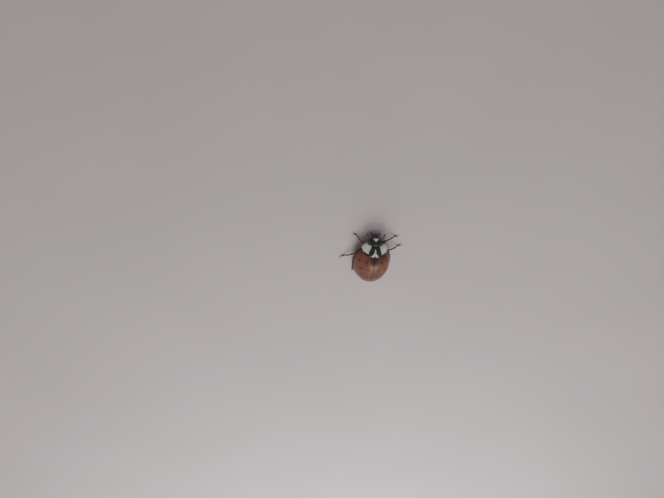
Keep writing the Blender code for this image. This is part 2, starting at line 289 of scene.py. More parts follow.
def slab(outer, inner, steps=3):
    """A shell from two grids of points that face each other, with a rounded edge between."""
    rows, columns = outer.shape[:2]
    count = rows * columns
    numbers = np.arange(count).reshape(rows, columns)
    border = np.concatenate((numbers[0, :-1], numbers[:-1, -1], numbers[-1, :0:-1], numbers[:0:-1, 0]))
    inside = np.concatenate((numbers[1, :-1], numbers[:-1, -2], numbers[-2, :0:-1], numbers[:0:-1, 1]))
    outer, inner = outer.reshape(-1, 3), inner.reshape(-1, 3)
    middle = (outer[border] + inner[border]) / 2
    half = outer[border] - middle
    outwards = unit(outer[border] - outer[inside]) * np.linalg.norm(half, axis=1, keepdims=True)
    turns = np.arange(1, steps + 1) * math.pi / (steps + 1)
    rims = [middle + half * math.cos(turn) + outwards * math.sin(turn) for turn in turns]
    row, column = np.mgrid[0 : rows - 1, 0 : columns - 1].reshape(2, -1)
    corner = row * columns + column
    quads = np.stack((corner, corner + 1, corner + columns + 1, corner + columns), -1)
    half_places = cell_places(row, column, 2 * rows, columns)
    faces = [quads, quads[:, ::-1] + count]
    places = [half_places, (half_places + (0, 0.5))[:, ::-1]]
    ring = np.arange(len(border))
    loops = [border, *(2 * count + step * len(border) + ring for step in range(steps)), border + count]
    for near, far in zip(loops, loops[1:]):
        faces.append(np.stack((np.roll(near, -1), near, far, np.roll(far, -1)), -1))
        places.append(np.zeros((len(near), 4, 2)))
    return Shell(np.concatenate([outer, inner, *rims]), [np.concatenate(faces)], [np.concatenate(places)])


def loft(path, width, height, up=(0, 0, 1), around=20, power=2.0, shaping=None):
    """Rings round a path, of a half width across it and a half height along up."""
    path = np.asarray(path, float)
    forward = unit(np.gradient(path, axis=0))
    side = unit(np.cross(forward, np.broadcast_to(up, forward.shape)))
    top = np.cross(side, forward)
    angle = around_ring(around)
    across = np.asarray(width)[:, None] * squared(np.cos(angle), power)
    rise = np.asarray(height)[:, None] * squared(np.sin(angle), power)
    if shaping is not None:
        factor = shaping(np.linspace(0, 1, len(path))[:, None], angle)
        across, rise = across * factor, rise * factor
    return tube(path[:, None] + side[:, None] * across[..., None] + top[:, None] * rise[..., None])


def limb(joints, width, height, blunt=(4, 4), count=30, **settings):
    """A closed, round-ended length through its joints, with widths and heights at even steps."""
    shares = towards_ends(count)
    ends = rounded(2 * shares - 1, np.where(shares < 0.5, *blunt))
    path = profile(shares, joints)
    return loft(path, profile(shares, width) * ends, profile(shares, height) * ends, **settings)


def reading_at(points, reading):
    """A reading at each point: a number, or what a function says of the points."""
    return np.broadcast_to(reading(points) if callable(reading) else reading, len(points))


class Piece:
    """Shells that make one piece, and what its material reads from its points."""

    def __init__(self, name, finish, slot, *replaced):
        self.name, self.finish, self.slot, self.replaced = name, finish, slot, replaced
        self.shells, self.marks = [], {}

    def add(self, *shells, furred=0.0):
        """Adds shells, with a reading of how thickly hairs grow on them."""
        for shell in shells:
            shell.furred = reading_at(shell.points, furred)
            self.shells.append(shell)
        return self

    def mark(self, **readings):
        """Keeps readings of the piece's points for its material."""
        self.marks.update(readings)
        return self

    def build(self):
        """Makes the piece, and gives its shells."""
        mesh = shells_mesh(self.name, self.shells)
        points = np.concatenate([shell.points for shell in self.shells])
        store(mesh, "along", np.concatenate([shell.along for shell in self.shells]))
        for name, reading in self.marks.items():
            store(mesh, name, reading_at(points, reading))
        settle(mesh, self.name, self.finish, self.slot, *self.replaced)
        return self.shells


def shells_mesh(name, shells):
    """One mesh of all the shells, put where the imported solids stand."""
    points, faces, start = [], [], 0
    for shell in shells:
        points.append(shell.points)
        for corners in shell.faces:
            faces += (corners + start).tolist()
        start += len(shell.points)
    mesh = bpy.data.meshes.new(name)
    mesh.from_pydata((np.concatenate(points) * MM + START).tolist(), [], faces)
    return mesh


def store(mesh, name, values, kind="FLOAT"):
    """Keeps a number or a vector at each point of a mesh."""
    attribute = mesh.attributes.new(name, kind, "POINT")
    field = "value" if kind == "FLOAT" else "vector"
    attribute.data.foreach_set(field, np.ascontiguousarray(values, np.float32).ravel())


def settle(mesh, name, finish, slot, *replaced):
    """Shows a finished mesh as a piece that rides on the beetle and stands for its solids."""
    mesh.shade_smooth()
    mesh.materials.clear()
    mesh.materials.append(finish)
    obj = bpy.data.objects.new(name, mesh)
    bpy.context.scene.collection.objects.link(obj)
    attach(obj, "root")
    if replaced:
        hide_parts(*replaced)


# ---- Wing cases, shield and scutellum ----

SPOTS = (  # middle of each faint spot on the left wing case, and its radius
    (1.0, -1.1, 0.2),
    (2.02, -0.95, 0.2),
    (0.72, -0.02, 0.24),
    (1.62, 0.0, 0.26),
    (2.4, 0.08, 0.2),
    (0.66, 1.12, 0.24),
    (1.42, 1.16, 0.24),
    (2.02, 1.1, 0.17),
    (0.8, 2.14, 0.22),
)
BASE_SPOT_Y, BASE_SPOT_RADIUS = -1.42, 0.44  # shared by both wing cases, round the scutellum
SCUTELLUM_FRONT_Y, SCUTELLUM_TIP_Y = -1.96, -1.22
SCUTELLUM_HALF_WIDTH = 0.36
SCUTELLUM_DEPTH = 0.11
GLINT_PLACE = (-0.55, -0.42)  # painted highlight flecks lie mostly a little right of the seam
GLINT_REACH = 0.8
SHOULDER_BUMP = (1.78, -1.2)
TAIL_RIDGE_Y, TAIL_DIP_Y = 2.66, 2.86
CASE_ROWS = 172
# Some columns of a wing case's grid, and their shares of the way from seam to margin.
CASE_COLUMNS, CASE_COLUMN_SHARES = (0, 8, 67, 96), (0, 0.06, 0.88, 1)
FOLD_SHARE = 0.968  # of the way from seam to margin, where the dome meets its gutter
# How far round the inside of a wing case its lining ends, and its folded flap starts.
LINING_SHARE, FLAP_SHARE = 0.7, 0.8
SWELL_AXIS_Z = 0.6  # bumps of the wing cases point away from a line at this height
NOWHERE = -1.0  # a depth reading far outside, for pieces without such a patch


def lengthwise(y, inset=0.0):
    """-1 at the front of the wing cases, 0 where they are widest and 1 at the tail."""
    return (y - WIDEST_Y) / (np.where(y < WIDEST_Y, CASE_FORWARD, CASE_BACKWARD) - inset)


def lengthwise_y(share, inset=0.0):
    """The reverse: the place along the body where lengthwise says share."""
    return WIDEST_Y + share * (np.where(share > 0, CASE_BACKWARD, CASE_FORWARD) - inset)


def case_half_width(y, inset=0.0):
    """Half the width of the closed wing cases at a place along the body."""
    share = np.clip(lengthwise(y, inset), -1, 1)
    return (CASE_HALF_WIDTH - inset) * rounded(share, np.where(share < 0, SHOULDER_POWER, TAIL_POWER))


def margin_z(y):
    """Height of the wing cases' lower edge."""
    share = (y + CASE_FORWARD - WIDEST_Y) / (CASE_FORWARD + CASE_BACKWARD)
    return between(share, MARGIN_FRONT_Z, MARGIN_REAR_Z)


def crest_z(y, inset=0.0):
    """Height of the wing cases along the seam, which comes down to the edge at the tail."""
    share = np.where(y < WIDEST_Y, lengthwise(y), np.minimum(lengthwise(y, inset), 1))
    top = CASE_TOP_Z - (CASE_TOP_Z - CASE_BASE_Z) * (np.minimum(y, 0) / SHIELD_REAR_Y) ** 2
    return between(rounded(share, np.where(share < 0, BLUNT_POWER, DOME_POWER)), margin_z(y), top)


def dome_z(x, y):
    """Height of the wing cases' surface at a place in plan."""
    share = np.clip(np.abs(x) / np.maximum(case_half_width(y), 1e-6), 0, 1)
    return between(rounded(share, DOME_POWER), margin_z(y), crest_z(y))


def scutellum_half_width(y):
    """Half the width of the triangle between the bases of the wing cases."""
    share = np.clip((SCUTELLUM_TIP_Y - y) / (SCUTELLUM_TIP_Y - SCUTELLUM_FRONT_Y), 0, 1)
    return SCUTELLUM_HALF_WIDTH * share**0.85


def flap_width(y):
    """Width of the folded-under flap, which narrows towards the tail."""
    share = ramp(y, -1.6, 2.6)
    return np.minimum(between(share, FLAP_FRONT, FLAP_REAR), 0.6 * case_half_width(y))


def swept(x, reach=CRESCENT):
    """How far forward the shield, or what meets it, bends at a place across the beetle."""
    return reach * (x / SHIELD_FRONT_HALF_WIDTH) ** 2


def shoulder_reach(x, y):
    """How far forward the wing cases' shoulders reach to meet the shield's hind corners."""
    return swept(x, SHOULDER_REACH) * ramp(y, -0.9, -2.0)


def case_swell(x, y, down):
    """Shoulder bump, the low ridge before the tip with a dip behind it, and faint waves."""
    inner_part = ramp(x, 0.08, 0.3)
    bump = 0.035 * mound(x, y, SHOULDER_BUMP, 0.36)
    ridge = 0.028 * bell(y - TAIL_RIDGE_Y + 0.12 * (x - 0.7) ** 2, 0.075)
    ridge = ridge * inner_part * (1 - ramp(x, 1.05, 1.4))
    dip = 0.012 * bell(y - TAIL_DIP_Y, 0.07) * inner_part
    waves = 0.006 * np.sin(2.1 * x + 1.3 * y) * np.sin(1.7 * y - 0.8 * x) * (1 - ramp(down, 0.8, 0.9))
    return bump + ridge - dip + waves


def folded_under(lining, rim, flap, edge):
    """The lining of a wing case, filled out to the flap that is folded under its margin."""
    part = np.linspace(0, 1, lining.shape[1])[None, :, None]
    flap_end = rim - flap
    flap_end[..., 0] = np.maximum(flap_end[..., 0], 0.01)
    flap_end[..., 2] = edge - 0.02
    joining = np.clip((part - LINING_SHARE) / (FLAP_SHARE - LINING_SHARE), 0, 1)
    lining = between(joining, lining, flap_end)
    out = np.clip((part - FLAP_SHARE) / (1 - FLAP_SHARE), 0, 1)
    under = between(out, flap_end, rim - (0, 0, 0.07))
    under[..., 2:] += 0.012 * np.sin(out * math.pi) - 0.012 * bell(out, 0.06)
    return np.where(part > FLAP_SHARE, under, lining)


def wing_case_grids(sizes, side):
    """Outer and inner surface of one wing case, from head to tail and from seam to margin."""
    gutter = sizes.gutter_width / MM
    along = crowded(-1.53, 1.562, CASE_ROWS)[:, None]
    down = np.interp(np.arange(CASE_COLUMNS[-1] + 1), CASE_COLUMNS, CASE_COLUMN_SHARES)[None]
    y = lengthwise_y(along, gutter)
    width, edge = case_half_width(y, gutter), margin_z(y)
    rise = crest_z(y, gutter) - edge
    normal = unit(np.stack((np.gradient(y[:, 0]), -np.gradient(width[:, 0])), -1))
    turn = (1 - down) * math.pi / 2
    x = width * squared(np.cos(turn), DOME_POWER)
    z = edge + rise * squared(np.sin(turn), DOME_POWER)
    # The margin runs out flat into a narrow gutter with a raised rim.
    z = between(ramp(down, 0.9, FOLD_SHARE), z, edge + 0.015)
    z = z + 0.024 * ramp(down, 0.985, 1) - 0.01 * bell(down - FOLD_SHARE, 0.008)
    spread = gutter * np.clip((down - 0.945) / 0.055, 0, 1)
    x = x + spread * normal[:, :1]
    y = y + spread * normal[:, 1:] * ramp(along, -0.9, -0.5)
    swell = case_swell(x, y, down)
    radial = unit(stacked(x, 0, z - SWELL_AXIS_Z))
    x, z = x + swell * radial[..., 0], z + swell * radial[..., 2]
    # The seam is beaded and falls away at its very edge, clear of the other wing case.
    z = z + 0.013 * bell(x - 0.045, 0.022) - 0.03 * bell(x, 0.016)
    clear = sizes.seam_gap / MM / 2 + scutellum_half_width(y) + 0.014 * ramp(y, -1.1, -1.3)
    wide = np.maximum(width, 0.03)
    outer = stacked(x + clear * np.clip(1 - x / wide, 0, 1), y - shoulder_reach(x, y), z)
    # Inside, the wall follows the dome down and then fills out to the folded flap.
    thin = np.minimum(sizes.case_wall / MM, 0.35 * width)
    part = np.linspace(0, 1, down.shape[1])[None]
    turn = between(np.clip(part / LINING_SHARE, 0, 1), math.pi / 2, 0.15)
    x = (width - thin) * squared(np.cos(turn), DOME_POWER)
    z = edge + np.maximum(rise - thin, 0) * squared(np.sin(turn), DOME_POWER)
    flap = flap_width(y[:, -1:])[..., None] * stacked(normal[:, :1], normal[:, 1:], 0)
    y = lengthwise_y(along, gutter + thin)
    inner = stacked(x + clear * np.clip(1 - x / wide, 0, 1), y - shoulder_reach(x, y), z)
    return mirrored(outer, side), mirrored(folded_under(inner, outer[:, -1:], flap, edge), side)


def spot_depth(points):
    """How far inside the nearest spot each point of a wing case lies."""
    depth = np.full(len(points), -9.0)
    for x, y, radius in SPOTS:
        away = np.linalg.norm(left_half(points) - (x, y, dome_z(x, y)), axis=1)
        depth = np.maximum(depth, radius - away)
    return depth


def base_spot_depth(points):
    """How far inside the dark patch round the scutellum each point lies."""
    return BASE_SPOT_RADIUS - np.hypot(points[:, 0] * 0.8, (points[:, 1] - BASE_SPOT_Y) * 0.72)


def margin_share(points):
    """0 over most of a wing case, and 1 at its margin, where painted shade darkens it."""
    x, y = points[:, 0], points[:, 1]
    out = np.abs(x) / np.maximum(case_half_width(y), 0.02)
    return np.maximum(ramp(out, 0.93, 1.0), ramp(lengthwise(y), 0.965, 1.0)) * ramp(y, -1.9, -1.5)


def make_wing_cases(sizes, colours):
    finish = wing_case_finish(colours, sizes)
    for label, side in SIDES:
        piece = Piece(f"wing_case_{label}", finish, "wing_case", f"elytron_{label}")
        piece.add(slab(*wing_case_grids(sizes, side)))
        piece.mark(
            spot=spot_depth,
            base_spot=base_spot_depth,
            # The margin and seam readings say where painted shade darkens the wing case.
            margin=margin_share,
            seam=lambda points: np.abs(points[:, 0]) - scutellum_half_width(points[:, 1]),
            # Where the painted highlight flecks lie.
            scuffed=lambda points: bell(np.linalg.norm(points[:, :2] - GLINT_PLACE, axis=1), GLINT_REACH),
            # Where painted shade darkens the front ends by the shield.
            shoulder=lambda points: ramp(points[:, 1], -0.7, -1.9),
            # Where painted shade darkens the rear.
            tail=lambda points: ramp(points[:, 1], -0.8, 1.5),
        )
        piece.build()


# The black M on the shield, the dot at its hind edge, and a band of painted shade in black along that edge,
# on the left side.
STREAK = ((0.27, -2.8), (0.58, -2.16))
BRIDGE = ((0, -2.98), (0.36, -2.92))
DOT_Y = -1.86
HIND_EDGE_SHADE = (1.02, -1.82)
# Its shallow dents, at the front corners and before the hind edge.
FRONT_DENT, HIND_DENT = (1.15, -2.75), (0.5, -1.95)
SHIELD_ROWS, SHIELD_COLUMNS = 90, 170


def shield_plan(along, turn, longer, wider):
    """Places across and along of points of the shield, made longer and wider at each side."""
    y = (SHIELD_REAR_Y + SHIELD_FRONT_Y) / 2 + along * ((SHIELD_REAR_Y - SHIELD_FRONT_Y) / 2 + longer)
    width = between(((along + 1) / 2) ** 0.8, SHIELD_FRONT_HALF_WIDTH, SHIELD_REAR_HALF_WIDTH) + wider
    x = width * rounded(along, SHIELD_SIDE_POWER) * squared(np.cos(turn), SHIELD_POWER)
    return x, y - swept(x)


def shield_top(along, lift):
    """Height of the shield's middle line, lifted a little."""
    return between(((along + 1) / 2) ** 0.75, SHIELD_FRONT_Z, SHIELD_REAR_Z) + lift


def shield_grid(along, turn, grow):
    """A surface of the shield, from front to rear and from its left margin to its right."""
    closing = rounded(along, np.where(along < 0, BLUNT_POWER, SHIELD_REAR_POWER))
    height = squared(np.sin(turn), SHIELD_POWER) * closing
    z = between(height, SHIELD_MARGIN_Z, shield_top(along, grow))
    return stacked(*shield_plan(along, turn, grow, grow), z)


def shield_mark_depth(points):
    """How far inside the black M on the shield, or its band of painted shade at the hind edge, each point
    lies.
    """
    x = np.abs(points[:, 0])
    y = points[:, 1] + 0.1 * x
    streak = 0.09 * ramp(y, -2.86, -2.62) + 0.3 * ramp(y, -2.4, -1.98)
    arms = np.minimum(bar_depth(x, y, *STREAK, 0.33, 0.31), x - streak)
    bridge = bar_depth(x, y, *BRIDGE, 0.2, 0.22)
    dot = 0.12 - np.hypot(x * 0.9, points[:, 1] - DOT_Y)
    # Painted shade: a black band along the hind edge, beside the wing cases.
    from_edge = np.abs(points[:, 1] - HIND_EDGE_SHADE[1] + swept(x))
    hind_edge_shade = np.minimum(0.19 - from_edge, 0.42 - np.abs(x - HIND_EDGE_SHADE[0]))
    return np.maximum.reduce((arms, bridge, dot, hind_edge_shade))


def make_shield(sizes, colours):
    along = crowded(-1.42, 1.43, SHIELD_ROWS)[:, None]
    turn = np.linspace(0, math.pi, SHIELD_COLUMNS)[None]
    outer = shield_grid(along, turn, 0.0)
    # A fine raised border runs along the front and the sides, with a groove inside it.
    side = np.minimum(turn, math.pi - turn)
    swell = 0.014 * bell(along + 0.975, 0.02) - 0.012 * bell(along + 0.93, 0.02)
    swell = swell + 0.012 * bell(side, 0.05) - 0.016 * bell(side - 0.13, 0.05)
    x, y, z = np.moveaxis(outer, -1, 0)
    swell = swell - 0.012 * bell(np.abs(x) - FRONT_DENT[0], 0.22) * bell(y - FRONT_DENT[1], 0.2)
    swell = swell - 0.01 * bell(np.abs(x) - HIND_DENT[0], 0.16) * bell(y - HIND_DENT[1], 0.12)
    outer = outer + swell[..., None] * unit(stacked(x, 0, z - SHIELD_MARGIN_Z + 0.3))
    inner = shield_grid(along, turn, -sizes.shield_wall / MM)
    piece = Piece("shield", shield_finish(colours, sizes), "shield", "pronotum").add(slab(outer, inner))
    piece.mark(
        black_mark=shield_mark_depth,
        # Where painted shade darkens the shield's lower rim.
        rim=lambda points: 1 - ramp(points[:, 2] - SHIELD_MARGIN_Z, 0.02, 0.4),
    )
    piece.build()


def make_scutellum(sizes, colours):
    share = np.linspace(0, 1, 26)[:, None]
    across = np.linspace(-1, 1, 27)[None]
    y = between(share, SCUTELLUM_FRONT_Y, SCUTELLUM_TIP_Y - 0.01)
    x = scutellum_half_width(y) * across
    crown = 0.024 * (1 - across**2) * (1 - share) + 0.012 - 0.014 * np.abs(across) ** 6
    top = stacked(x, y, dome_z(x, y) + crown)
    finish = black_shell_finish(colours, sizes, "scutellum_shell", colours.base_spot)
    piece = Piece("scutellum_plate", finish, "black_shell", "scutellum")
    piece.add(slab(top, top - (0, 0, SCUTELLUM_DEPTH))).mark(pale=NOWHERE).build()


# ---- Underside ----

# Seams between the plates, drawn on the left side and mirrored.
BREAST_SEAMS = (
    ((0.1, -2.98), (0.085, -2.6), (0.15, -2.26)),
    ((0.72, -3.14), (0.94, -2.75), (1.0, -2.35), (0.92, -1.98)),
    ((0.0, -2.96), (0.45, -3.02), (0.72, -3.14)),
)
CHEST_SEAMS = (
    ((0.0, -1.12), (0.0, -0.24)),
    ((0.0, -1.5), (0.28, -1.46)),
    ((1.14, -1.06), (1.5, -1.0), (1.74, -0.2)),
    ((1.08, -1.66), (1.42, -1.44), (1.5, -1.0)),
    ((1.42, -1.44), (1.86, -1.32)),
    ((0.0, -0.3), (0.4, -0.4), (0.7, -0.46), (1.74, -0.34)),
)
CHEST_SWELLING = (0.45, -0.75)
PALE_PLATE = ((1.16, -1.7), (1.9, -1.7), (1.9, -1.34), (1.44, -1.42))
BELLY_SEAMS = (0.72, 1.2, 1.64, 2.05, 2.44)  # hind edges of the belly plates
BELLY_TIP_Y = 3.06
TAIL_CLEARANCE = 0.15  # between the belly's tip and the wing cases' outline
THIGH_LINE = ((0.42, 0.1), (0.66, 0.42), (1.0, 0.58), (1.34, 0.54), (1.62, 0.4))
SEAM_DEPTH = 0.022


def socket_depth(x, y, leg, grow=1.16):
    """A ring-shaped groove round where a hip sits."""
    hip = LEGS[leg][0]
    ring = np.hypot((np.abs(x) - hip[0]) / COXA_RADII[0], (y - hip[1]) / COXA_RADII[1])
    return 0.05 * bell(ring - grow, 0.13)


def trunk_half_width(y):
    """Half the width of the chest and belly, which fill the wing cases up to their flaps."""
    width = case_half_width(y) - flap_width(y) + 0.07
    return np.where(y > 0, np.minimum(width, case_half_width(y, TAIL_CLEARANCE)), width)


def chest_hollows(x, y):
    """The seams between the chest's plates, its hip sockets and its two low swellings."""
    seams = SEAM_DEPTH * bell(line_distance(x, y, CHEST_SEAMS), 0.018)
    hips = socket_depth(x, y, "mid_left") + socket_depth(x, y, "hind_left")
    swelling = bell(y - CHEST_SWELLING[1], 0.35) * bell(np.abs(x) - CHEST_SWELLING[0], 0.5)
    return seams + hips - 0.03 * swelling


def belly_hollows(x, y):
    """Steps where one plate overlaps the next, the thigh lines and a dimple at each side."""
    hollow = SEAM_DEPTH * bell(line_distance(x, y, [THIGH_LINE]), 0.02) + socket_depth(x, y, "hind_left")
    across = x / trunk_half_width(y)
    for start, end in zip((WAIST_Y, *BELLY_SEAMS), (*BELLY_SEAMS, 3.0)):
        bowed = y - (0.07 * across**2 if start > 0 else 0)
        inside = (bowed >= start) & (bowed < end)
        hollow = hollow - inside * 0.03 * ((bowed - start) / (end - start)) ** 2
        dimple = bell(np.abs(across) - 0.78, 0.07) * bell(bowed - (start + end) / 2, 0.1)
        hollow = hollow + 0.02 * dimple
    return hollow


def trunk_rings(y, hollows):
    """Rings of the chest or belly, whose lower half is carved by hollows(x, y)."""
    low = np.linspace(math.pi, TAU, 180, endpoint=False)
    high = np.linspace(0, math.pi, 40, endpoint=False)
    angle = np.concatenate((low, high))[None]
    y = y[:, None]
    edge = margin_z(y) + 0.03
    depth = np.maximum(edge - BELLY_Z - TAIL_RISE * np.abs(lengthwise(y)) ** 3, 0.04)
    x = trunk_half_width(y) * squared(np.cos(angle), DOME_POWER)
    z = edge + np.where(np.sin(angle) < 0, depth, 0.45) * squared(np.sin(angle), DOME_POWER)
    return stacked(x, y, z + hollows(x, y) * ramp(-np.sin(angle), 0.02, 0.2))


def closed_ends(rings, middle_z, reach=0.05):
    """The same rings with a few more that draw each end in, so that it is rounded."""
    ends = []
    for ring, sign in ((rings[0], -1), (rings[-1], 1)):
        centre = np.array((0, ring[:, 1].mean(), middle_z))
        turns = np.linspace(0, math.pi / 2, 7)[1:-1]
        closing = [centre + (ring - centre) * between(math.cos(t), 0.94, 1.0) for t in turns]
        closing = [row + (0, sign * reach * math.sin(t), 0) for row, t in zip(closing, turns)]
        closing.append(centre + (closing[-1] - centre) * (0.5, 1, 0.5))
        ends.append(closing[::sign])
    return np.concatenate((ends[0], rings, ends[1]))


def pale_plate_depth(points):
    """How far inside the pale plate beside the middle legs each point lies."""
    x, y = np.abs(points[:, 0]), points[:, 1]
    depth = np.full(len(points), 9.0)
    for (x0, y0), (x1, y1) in zip(PALE_PLATE, PALE_PLATE[1:] + PALE_PLATE[:1]):
        inwards = ((x1 - x0) * (y - y0) - (y1 - y0) * (x - x0)) / math.hypot(x1 - x0, y1 - y0)
        depth = np.minimum(depth, inwards)
    return depth


def side_share(points):
    """0 along the middle of the underside, and 1 at its sides and its tip."""
    y = points[:, 1]
    width = np.maximum(case_half_width(y) - flap_width(y), 0.05)
    return np.clip(np.maximum(np.abs(points[:, 0]) / width, ramp(y, 1.7, 3.1)), 0, 1.2)


def below(height):
    """A reading of 1 well below a height and 0 above it, for hairs."""
    return lambda points: ramp(-points[:, 2], -height, 0.12 - height)


def make_breast(sizes, colours):
    along = crowded(-1.5, 1.5, 100)[:, None]
    angle = around_ring(200)
    x, y = shield_plan(along, angle, -0.05, -0.06)
    end = np.where(np.sin(angle) > 0, shield_top(along, -0.1), BREAST_Z)
    height = np.abs(squared(np.sin(angle), SHIELD_POWER)) * rounded(along, BLUNT_POWER)
    carved = SEAM_DEPTH * bell(line_distance(x, y, BREAST_SEAMS), 0.018)
    carved = carved + socket_depth(x, y, "fore_left", 1.2)
    carved = carved - 0.05 * bell(x, 0.09) * ramp(y, -3.0, -2.7)
    carved = carved * ramp(-np.sin(angle), 0.02, 0.25) * ramp(-np.abs(along), -0.99, -0.85)
    piece = Piece("breast_plates", underside_finish(colours, sizes), "black_shell", "breast")
    piece.add(tube(stacked(x, y, between(height, SHIELD_MARGIN_Z, end) + carved)), furred=below(1.25))
    piece.mark(
        brown=lambda points: 0.2 * ramp(np.abs(points[:, 0]), 0.5, 1.2),
        pale=lambda points: np.abs(points[:, 0]) - 0.97,
    )
    return piece.build()


def make_trunk(sizes, colours):
    finish = underside_finish(colours, sizes)
    rings = trunk_rings(np.linspace(-1.98, WAIST_Y - 0.01, 100), chest_hollows)
    chest = Piece("chest_plates", finish, "black_shell", "chest")
    chest.add(tube(closed_ends(rings, 0.95)), furred=below(0.9))
    chest.mark(brown=lambda points: 0.6 * ramp(side_share(points), 0.75, 1.0), pale=pale_plate_depth)
    # The belly's rings crowd together towards the tail, which closes quickly.
    stations = between(crowded(0, math.pi / 2, 215), WAIST_Y + 0.01, BELLY_TIP_Y)
    belly = Piece("belly_plates", finish, "underside", "abdomen")
    belly.add(tube(closed_ends(trunk_rings(stations, belly_hollows), 0.93, 0.02)), furred=below(0.9))
    belly.mark(brown=lambda points: ramp(side_share(points), 0.5, 0.86), pale=NOWHERE)
    return chest.build() + belly.build()


# ---- Head ----

SOCKET = np.array((0.74, -3.62, 1.2))  # where the left feeler springs from
# How far down the head its pale triangle starts and ends, and where its other marks lie.
FROWN_TIP, FROWN_BASE = 0.76, 1.23
WRINKLES_DOWN, DIP_DOWN, FACE_SEAM_DOWN = 0.5, 0.98, 1.245
CHEEK_SWELLING = (0.5, 1.2)  # across and down
HEAD_ROWS, HEAD_COLUMNS = 130, 150
CHEEK = ((0.66, -3.6, 1.2), (0.8, -3.5, 1.27), (0.93, -3.34, 1.36))

# Paths of the parts of the mouth, on the left side or in the middle.
BITE = ((0.34, -3.86, 0.76), (0.37, -4.06, 0.74), (0.2, -4.2, 0.72), (0.015, -4.19, 0.71))
TOOTH = ((0.16, -4.17, 0.7), (0.08, -4.15, 0.67), (0.02, -4.11, 0.655))
LOBE = ((0.3, -3.7, 0.62), (0.28, -3.9, 0.56), (0.19, -4.08, 0.55))
LIP_FEELER = ((0.11, -3.98, 0.54), (0.13, -4.08, 0.5), (0.15, -4.17, 0.47))
CHIN = ((0, -3.52, 0.66), (0, -3.75, 0.57), (0, -3.95, 0.55), (0, -4.06, 0.56))
THROAT = ((0, -3.3, 0.92), (0, -3.62, 0.78), (0, -3.95, 0.74))

FEELER = (
    (0.71, -3.6, 1.2),
    (0.86, -3.74, 1.17),
    (1.02, -3.92, 1.1),
    (1.13, -4.16, 0.98),
    (1.22, -4.42, 0.84),
)
FEELER_LENGTHS = (1.9, 1.1, 1.5, 0.95, 0.9, 0.85, 0.85, 0.85, 1.3, 1.2, 1.35)
FEELER_RADII = (0.066, 0.05, 0.038, 0.036, 0.036, 0.037, 0.039, 0.043, 0.07, 0.084, 0.078)
PALP = ((0.36, -3.72, 0.6), (0.47, -3.9, 0.55), (0.55, -4.06, 0.5), (0.62, -4.26, 0.41))


def head_place(x, down, out):
    """Points of the head from their places across, down towards the mouth and outwards."""
    return NECK + stacked(x, down, out) @ HEAD_AXES


def face_triangle_depth(points):
    """How far inside the pale triangle on the face each point lies."""
    x, down, out = HEAD_AXES @ (points - NECK).T
    slant = (1.02 * (down - FROWN_TIP) - np.abs(x)) / 1.43
    return np.minimum(np.minimum(slant, FROWN_BASE - 0.25 * x**2 - down), 3 * (out - 0.1))


def head_rings():
    """The head's rings, with its brow, cheeks, seam, and the rims round eyes and feelers."""
    share = towards_ends(HEAD_ROWS, 0.99)[:, None]
    angle = around_ring(HEAD_COLUMNS)
    ring = rounded(1 - 2 * share, HEAD_POWER)
    x = between(share, HEAD_HALF_WIDTH, MOUTH_HALF_WIDTH) * ring * squared(np.cos(angle), HEAD_POWER)
    out = HEAD_HALF_HEIGHT * ring * squared(np.sin(angle), HEAD_POWER)
    down = share * HEAD_LENGTH
    points = head_place(x, down, out)
    seam = 0.016 * bell(down - FACE_SEAM_DOWN + 0.25 * x**2, 0.016) * (1 - ramp(np.abs(x), 0.42, 0.5))
    cheeks = 0.035 * bell(np.abs(x) - CHEEK_SWELLING[0], 0.09) * bell(down - CHEEK_SWELLING[1], 0.12)
    wrinkles = 0.01 * np.sin(16 * x) * bell(down - WRINKLES_DOWN, 0.2) * bell(x, 0.2)
    dip = 0.035 * bell(x, 0.34) * bell(down - DIP_DOWN, 0.26)
    swell = (cheeks + wrinkles - seam - dip) * ramp(out, 0.05, 0.25)
    from_eye = np.linalg.norm((left_half(points) - EYE_CENTRE) / EYE_RADII, axis=-1)
    swell = swell - 0.03 * bell(from_eye - 1.13, 0.09) + 0.018 * bell(from_eye - 1.36, 0.1)
    from_socket = np.linalg.norm(left_half(points) - SOCKET, axis=-1)
    swell = swell - 0.06 * bell(from_socket, 0.085) + 0.02 * bell(from_socket - 0.13, 0.03)
    return points + swell[..., None] * (stacked(np.cos(angle), 0, np.sin(angle)) @ HEAD_AXES)


def face_plate(half_width, power, down, out, width, height, around):
    """A low plate across the head. Its down and out are a place and how it curves from there."""
    x = half_width * crowded(-1.5, 1.5, 44)
    ends = rounded(x / (half_width + 0.002), power)
    path = head_place(x, HEAD_LENGTH + down[0] - down[1] * x**2, out[0] - out[1] * x**2)
    return loft(path, width * ends, height * ends, up=HEAD_OUT, around=around, power=2.3)


def make_head_capsule(sizes, colours):
    piece = Piece("head_capsule", black_shell_finish(colours, sizes), "black_shell", "head")
    piece.add(tube(head_rings()), furred=lambda points: 0.5 * ramp((points - NECK) @ HEAD_DOWN, 0.7, 1.0))
    for _, side in SIDES:
        # The narrow ledge of the cheek that runs into the front of each eye.
        ledge = mirrored(CHEEK, side)
        piece.add(limb(ledge, (0.05, 0.045, 0.012), (0.05, 0.035, 0.01), around=14, count=22))
    # The clypeus, a low plate between the face and the upper lip.
    piece.add(face_plate(0.46, 3.2, (-0.135, 0.16), (0.262, 0.26), 0.1, 0.05, 28))
    return piece.mark(pale=face_triangle_depth).build()[:1]


def beads(joints, lengths, radii, flatness=1.0, around=18):
    """The joints of a feeler or palp: beads strung on a path, each wider towards its tip."""
    stops = np.concatenate(([0], np.cumsum(lengths))) / sum(lengths)
    strung = []
    for start, end, radius in zip(stops, stops[1:], radii):
        overlap = 0.12 * (end - start)
        path = profile(np.linspace(max(start - overlap, 0), end, 5), joints)
        width = np.array((0.68, 0.8, 0.94, 1.03, 0.95)) * radius
        strung.append(limb(path, width, width * flatness, blunt=(5, 5), count=18, around=around))
    return strung


